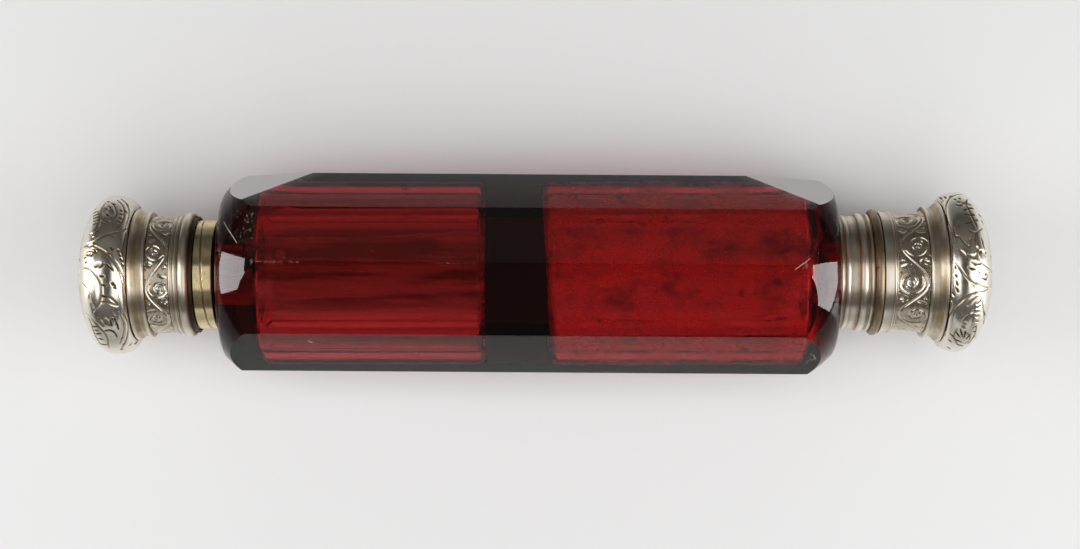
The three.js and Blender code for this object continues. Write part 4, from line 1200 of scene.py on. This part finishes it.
def moulded_collar():
    """Hollow foot, low bead, plain band, round bead and fine seat bead, from the glass out.
    The foot's hollow is half a sine deep."""
    near, far, radius = span("hinge_collar")
    band = radius - 0.72
    foot, low, plain, round_end = near + 0.62, near + 1.3, near + 2.6, near + 3.8
    share = np.linspace(0, 1, 14)
    hollow = np.stack([near + 0.1 + (foot - near - 0.1) * share,
                       band + 0.22 - 0.3 * share - 0.1 * np.sin(np.pi * share)], -1)
    outer = path([near, band + 0.1], hollow, bead(foot, low, band - 0.06, band + 0.14),
                 evenly(np.array([[low + 0.06, band - 0.04], [plain - 0.06, band + 0.12]]), 0.2),
                 [plain, band + 0.04], bead(plain + 0.03, round_end, band + 0.04, band + 0.46, 16),
                 [round_end + 0.1, band], [round_end + 0.2, band],
                 bead(round_end + 0.3, far - 0.08, band + 0.08, band + 0.38, 10),
                 [far, band + 0.1])
    return turned("moulded_hinge_collar", RIGHT, outer, COLLAR_BORE)


def rim_roll():
    """The rolled rim of the lid, in silver painted dark brown as shade tinged by the red glass's
    reflection.
    """
    near, far, radius = span("lid_rim_roll")
    outer = path([near, radius - 0.7], bead(near, far, radius - 0.62, radius, 20),
                 [far, radius - 0.7])
    return turned("lid_rolled_rim", RIGHT, outer, LID_BORE)


def flange():
    """Plain band that tapers a little to two fine wires."""
    near, far, radius = span("lid_flange")
    end = far - 0.5
    outer = path([near, radius - 0.2], arc(near + 0.1, radius - 0.1, 0.1, 0.1, 180, 90, 4),
                 [end, radius - 0.2], bead(end, far - 0.22, radius - 0.22, radius - 0.04, 8),
                 bead(far - 0.2, far, radius - 0.22, radius - 0.07, 8))
    return turned("lid_flange_band", RIGHT, outer, LID_BORE)


fit(moulded_collar(), "bottle", ["hinge_collar"], SILVER)
fit(rim_roll(), "lid", ["lid_rim_roll"], PAINTED_SHADE_SILVER)
fit(flange(), "lid", ["lid_flange"], SILVER)
fit(engraved_drum("engraved_lid_drum", RIGHT, "lid_drum", LID_BORE, foot=8.2, flare=0.5,
                  pattern=vine(waves=5, phase=10, radius=8.3, width=4.3, size=1.85)),
    "lid", ["lid_drum"], ENGRAVED)
fit(wired_band("lid_coved_band", RIGHT, "lid_shoulder_band", LID_BORE, wire=0.45, flare=0.6,
               hollow=0.3), "lid", ["lid_shoulder_band"], SILVER)
fit(crown("engraved_cap_crown", LEFT, "cap_crown", back=2.95, neck=9.6, lines=CAP_CROWN_LINES,
          ticks=CAP_CROWN_TICKS, leaves=CAP_CROWN_LEAVES),
    "screw_cap", ["cap_crown"], POLISHED)
fit(crown("engraved_lid_crown", RIGHT, "lid_crown", back=2.35, neck=10.15, lines=LID_CROWN_LINES,
          ticks=LID_CROWN_TICKS, leaves=LID_CROWN_LEAVES),
    "lid", ["lid_crown"], POLISHED)


# Pieces inside and underneath

def plain_ring(name, side, node, wall, edge=0.08):
    """A ring with eased edges, quarter rounds, and a wall of even thickness."""
    near, far, radius = span(node)
    outer = path(arc(near + edge, radius - edge, edge, edge, 180, 90, 4),
                 evenly(np.array([[near + 2 * edge, radius], [far - 2 * edge, radius]]), 0.2),
                 arc(far - edge, radius - edge, edge, edge, 90, 0, 4))
    return turned(name, side, outer, radius - wall)


def lid_liner():
    """Thin gilt cup inside the lid, with a domed end, a quarter of an ellipse."""
    near, far, radius = span("lid_liner")
    wall, dome = 0.3, 2.6
    outside = path([near, radius], arc(far - dome, 0, dome, radius, 90, 0, 24))
    inside = path(arc(far - dome, 0, dome - wall, radius - wall, 0, 90, 24), [near, radius - wall])
    return marked(turned_solid("gilt_lid_liner", RIGHT, path(inside, outside), sharp=40))


def stopper():
    """Clear stopper: a ground plug that narrows inwards, a throat and a round flat head."""
    near, far, radius = span("glass_stopper")
    mouth, length, rounding = near + 5.2, 2.0, 0.6
    head = far - length
    profile = path([near, 0], arc(near + 0.2, 2.5, 0.2, 0.2, 180, 90, 5), [mouth - 0.9, 2.96],
                   [mouth - 0.7, 2.9],
                   arc((mouth - 0.7 + head) / 2 + 0.1, 2.95, 0.75, 0.45, 200, 340, 14),
                   arc(head + rounding, radius - rounding, rounding, rounding, 180, 90, 10),
                   arc(far - rounding, radius - rounding, rounding, rounding, 90, 0, 10),
                   [far - 0.05, 2.2], [far - 0.25, 1.2], [far - 0.3, 0])
    return turned_solid("ground_glass_stopper", RIGHT, profile, sharp=35)


def cork():
    """Cork disc pressed into the cap's pan, with rounded edges."""
    near, far, radius = span("cork_seal")
    profile = path([near, 0], evenly(np.array([[near, 0.4], [near, radius - 0.3]]), 0.3),
                   arc(near + 0.3, radius - 0.3, 0.3, 0.3, 180, 90, 6),
                   arc(far - 0.2, radius - 0.2, 0.2, 0.2, 90, 0, 6), [far, 0])
    return turned_solid("cork_disc", LEFT, profile, sharp=50)


def pan():
    """Gilt pan that holds the cork: a floor and a short skirt."""
    near, far, radius = span("cork_pan")
    wall = 0.4
    profile = path([far - wall, 0], [far - wall, radius - wall], [near + 0.1, radius - wall],
                   arc(near + 0.1, radius - wall / 2, 0.1, wall / 2, 270, 90, 8),
                   arc(far - 0.3, radius - 0.3, 0.3, 0.3, 90, 0, 6), [far, 0])
    return marked(turned_solid("gilt_cork_pan", LEFT, profile, sharp=40))


def cement_ring(name, side, node):
    """Cement between a neck and its collar."""
    return plain_ring(name, side, node, CEMENT_WALL, 0.04)


fit(plain_ring("gilt_seat_ring", RIGHT, "lid_seat_bezel", SEAT_WALL), "bottle",
    ["lid_seat_bezel"], GILT)
fit(lid_liner(), "lid", ["lid_liner"], GILT)
fit(stopper(), "stopper", ["glass_stopper"], CLEAR)
fit(cork(), "cork", ["cork_seal"], CORK)
fit(pan(), "screw_cap", ["cork_pan"], GILT)
fit(cement_ring("screw_collar_cement", LEFT, "screw_neck_cement"), "bottle",
    ["screw_neck_cement"], CEMENT)
fit(cement_ring("hinge_collar_cement", RIGHT, "hinge_neck_cement"), "bottle",
    ["hinge_neck_cement"], CEMENT)

# The hinge keeps its plain shape, in a duller silver
for part in ("collar_hinge_leaf", "lid_hinge_leaf", "hinge_pin"):
    for slot in bpy.data.objects[part].material_slots:
        slot.material = HINGE_SILVER


# Camera and light

# The width of the view at the bottle's axis, and the camera's place, in metres
VIEW_WIDTH = 0.15429
CAMERA_ABOVE_AXIS = 0.290
CAMERA_ACROSS = 0.0016
CAMERA_UP = -0.00017
CAMERA_ROLL = math.radians(-0.2)
SENSOR_WIDTH = 36

# The sheet: half its width and how far it lies under the bottle, in metres, and its colour
FLOOR_HALF = 1.5
FLOOR_DROP = 0.00002
FLOOR_COLOUR = (0.78, 0.78, 0.785)
# The sheet's grey in reflections, from in front of the bottle, 0, to behind it, 1
FLOOR_REFLECTED = ((0.0, 0.36), (0.14, 0.48), (0.30, 0.72), (0.70, 0.72), (0.86, 0.28), (1.0, 0.20))
REFLECTED_REACH = 0.06

# Grey of the surroundings at places from the horizon, 0, to straight up, 1, and its warmth
SURROUNDINGS = ((0.0, 0.05), (0.5, 0.10), (0.72, 0.16), (0.86, 0.075), (1.0, 0.05))
WARMTH = (1.0, 0.95, 0.86)

# Lamps. A soft box's high and low edges are places of (distance along, height) in metres.
LOW_BOX = ((0.55, 0.36), (0.55, 0.02))
LOW_BOX_RADIANCE = 6.4
HIGH_BOX = ((0.133, 0.463), (0.45, 0.36))
HIGH_BOX_RADIANCE = 1.3
FILL_SIZE = (0.6, 0.6)
FRONT_DISTANCE = 0.6
FILL_HEIGHT = 0.6
FILL_RADIANCE = 1.3
OVERHEAD_HEIGHT = 0.8
OVERHEAD_RADIANCE = 1.4
GLOW_SIZE = (0.9, 0.15)
GLOW_HEIGHT = 0.08
GLOW_RADIANCE = 0.5


def camera():
    """Straight above the bottle, as the photograph is taken."""
    view = bpy.data.cameras.new("camera")
    view.sensor_width = SENSOR_WIDTH
    view.lens = SENSOR_WIDTH * CAMERA_ABOVE_AXIS / VIEW_WIDTH
    made = placed("camera", view)
    made.location = (CAMERA_ACROSS, CAMERA_UP, AXIS_HEIGHT * MM + CAMERA_ABOVE_AXIS)
    made.rotation_euler = (0, 0, CAMERA_ROLL)
    bpy.context.scene.camera = made


def pale_sheet():
    """A plain pale sheet with a soft gloss. In reflections on the bottle it is darker away from
    the bottle, most of all behind it, as a narrow sheet with a dark table round it is."""
    made, node = material("pale_floor")
    place = node("ShaderNodeTexCoord").outputs["Object"]
    y = node("ShaderNodeSeparateXYZ", Vector=place).outputs["Y"]
    across = number(node, "MULTIPLY_ADD", y, 0.5 / REFLECTED_REACH, 0.5)
    ray = node("ShaderNodeLightPath")
    colour = blended(node, ray.outputs["Is Glossy Ray"], FLOOR_COLOUR,
                     ramp(node, across, *FLOOR_REFLECTED))
    shader = node("ShaderNodeBsdfPrincipled", Roughness=0.3, Base_Color=colour)
    node("ShaderNodeOutputMaterial", Surface=shader.outputs[0])
    return made


def floor():
    """The sheet under the bottle."""
    mesh = bpy.data.meshes.new("floor")
    h = FLOOR_HALF
    mesh.from_pydata([(-h, -h, 0), (h, -h, 0), (h, h, 0), (-h, h, 0)], [], [(0, 1, 2, 3)])
    made = placed("floor", mesh)
    made.location.z = -FLOOR_DROP
    made.data.materials.append(pale_sheet())


def area_lamp(name, width, depth, radiance):
    """A rectangular lamp, unseen by the camera, with a power of pi times its area times its
    radiance."""
    lamp = bpy.data.lights.new(name, "AREA")
    lamp.shape = "RECTANGLE"
    lamp.size, lamp.size_y = width, depth
    lamp.energy = math.pi * width * depth * radiance
    made = placed(name, lamp)
    made.visible_camera = False
    return made


def soft_box(name, side, edges, y_range, radiance):
    """A lamp between a high and a low edge, both along Y, that shines on the bottle."""
    top, bottom = (Vector((side * along, 0, height)) for along, height in edges)
    made = area_lamp(name, y_range[1] - y_range[0], (top - bottom).length, radiance)
    up = (top - bottom).normalized()
    across = Vector((0, side, 0))
    turn = Matrix((across, up, across.cross(up))).transposed().to_4x4()
    middle = (top + bottom) / 2 + Vector((0, sum(y_range) / 2, 0))
    made.matrix_world = Matrix.Translation(middle) @ turn


def wide_lamp(name, size, place, lean, radiance, reflected):
    """A lamp at a place given as (y, z), leaning back by an angle in degrees from facing down,
    and shown in reflections or not."""
    made = area_lamp(name, *size, radiance)
    made.location = (0, *place)
    made.rotation_euler = (math.radians(lean), 0, 0)
    made.visible_glossy = made.visible_transmission = reflected


def studio():
    """Dim surroundings, a little lighter half way up. At each end of the bottle a bright box
    stands low down, and a wider and softer one leans in over it, up to just outside the camera's
    view. Two wide lamps, half way up in front and overhead, light the sheet and don't show in
    reflections, and a long low one glows in front."""
    world = bpy.data.worlds.new("studio")
    bpy.context.scene.world = world
    node = nodes_of(world)
    place = node("ShaderNodeTexCoord").outputs["Generated"]
    rise = node("ShaderNodeSeparateXYZ", Vector=place).outputs["Z"]
    stops = [(up, tuple(grey * share for share in WARMTH)) for up, grey in SURROUNDINGS]
    back = node("ShaderNodeBackground", Color=ramp(node, rise, *stops))
    node("ShaderNodeOutputWorld", Surface=back.outputs[0])
    for end, side, low_range, high_range in (
        ("left", LEFT, (-0.11, 0.13), (-0.28, 0.14)),
        ("right", RIGHT, (-0.24, 0.06), (-0.34, 0.12)),
    ):
        soft_box(end + "_low_box", side, LOW_BOX, low_range, LOW_BOX_RADIANCE)
        soft_box(end + "_high_box", side, HIGH_BOX, high_range, HIGH_BOX_RADIANCE)
    wide_lamp("front_fill", FILL_SIZE, (-FRONT_DISTANCE, FILL_HEIGHT), 45, FILL_RADIANCE, False)
    wide_lamp("overhead_fill", FILL_SIZE, (0, OVERHEAD_HEIGHT), 0, OVERHEAD_RADIANCE, False)
    wide_lamp("front_glow", GLOW_SIZE, (-FRONT_DISTANCE, GLOW_HEIGHT), 90, GLOW_RADIANCE, True)


camera()
floor()
studio()
bpy.context.scene.view_settings.view_transform = "Standard"
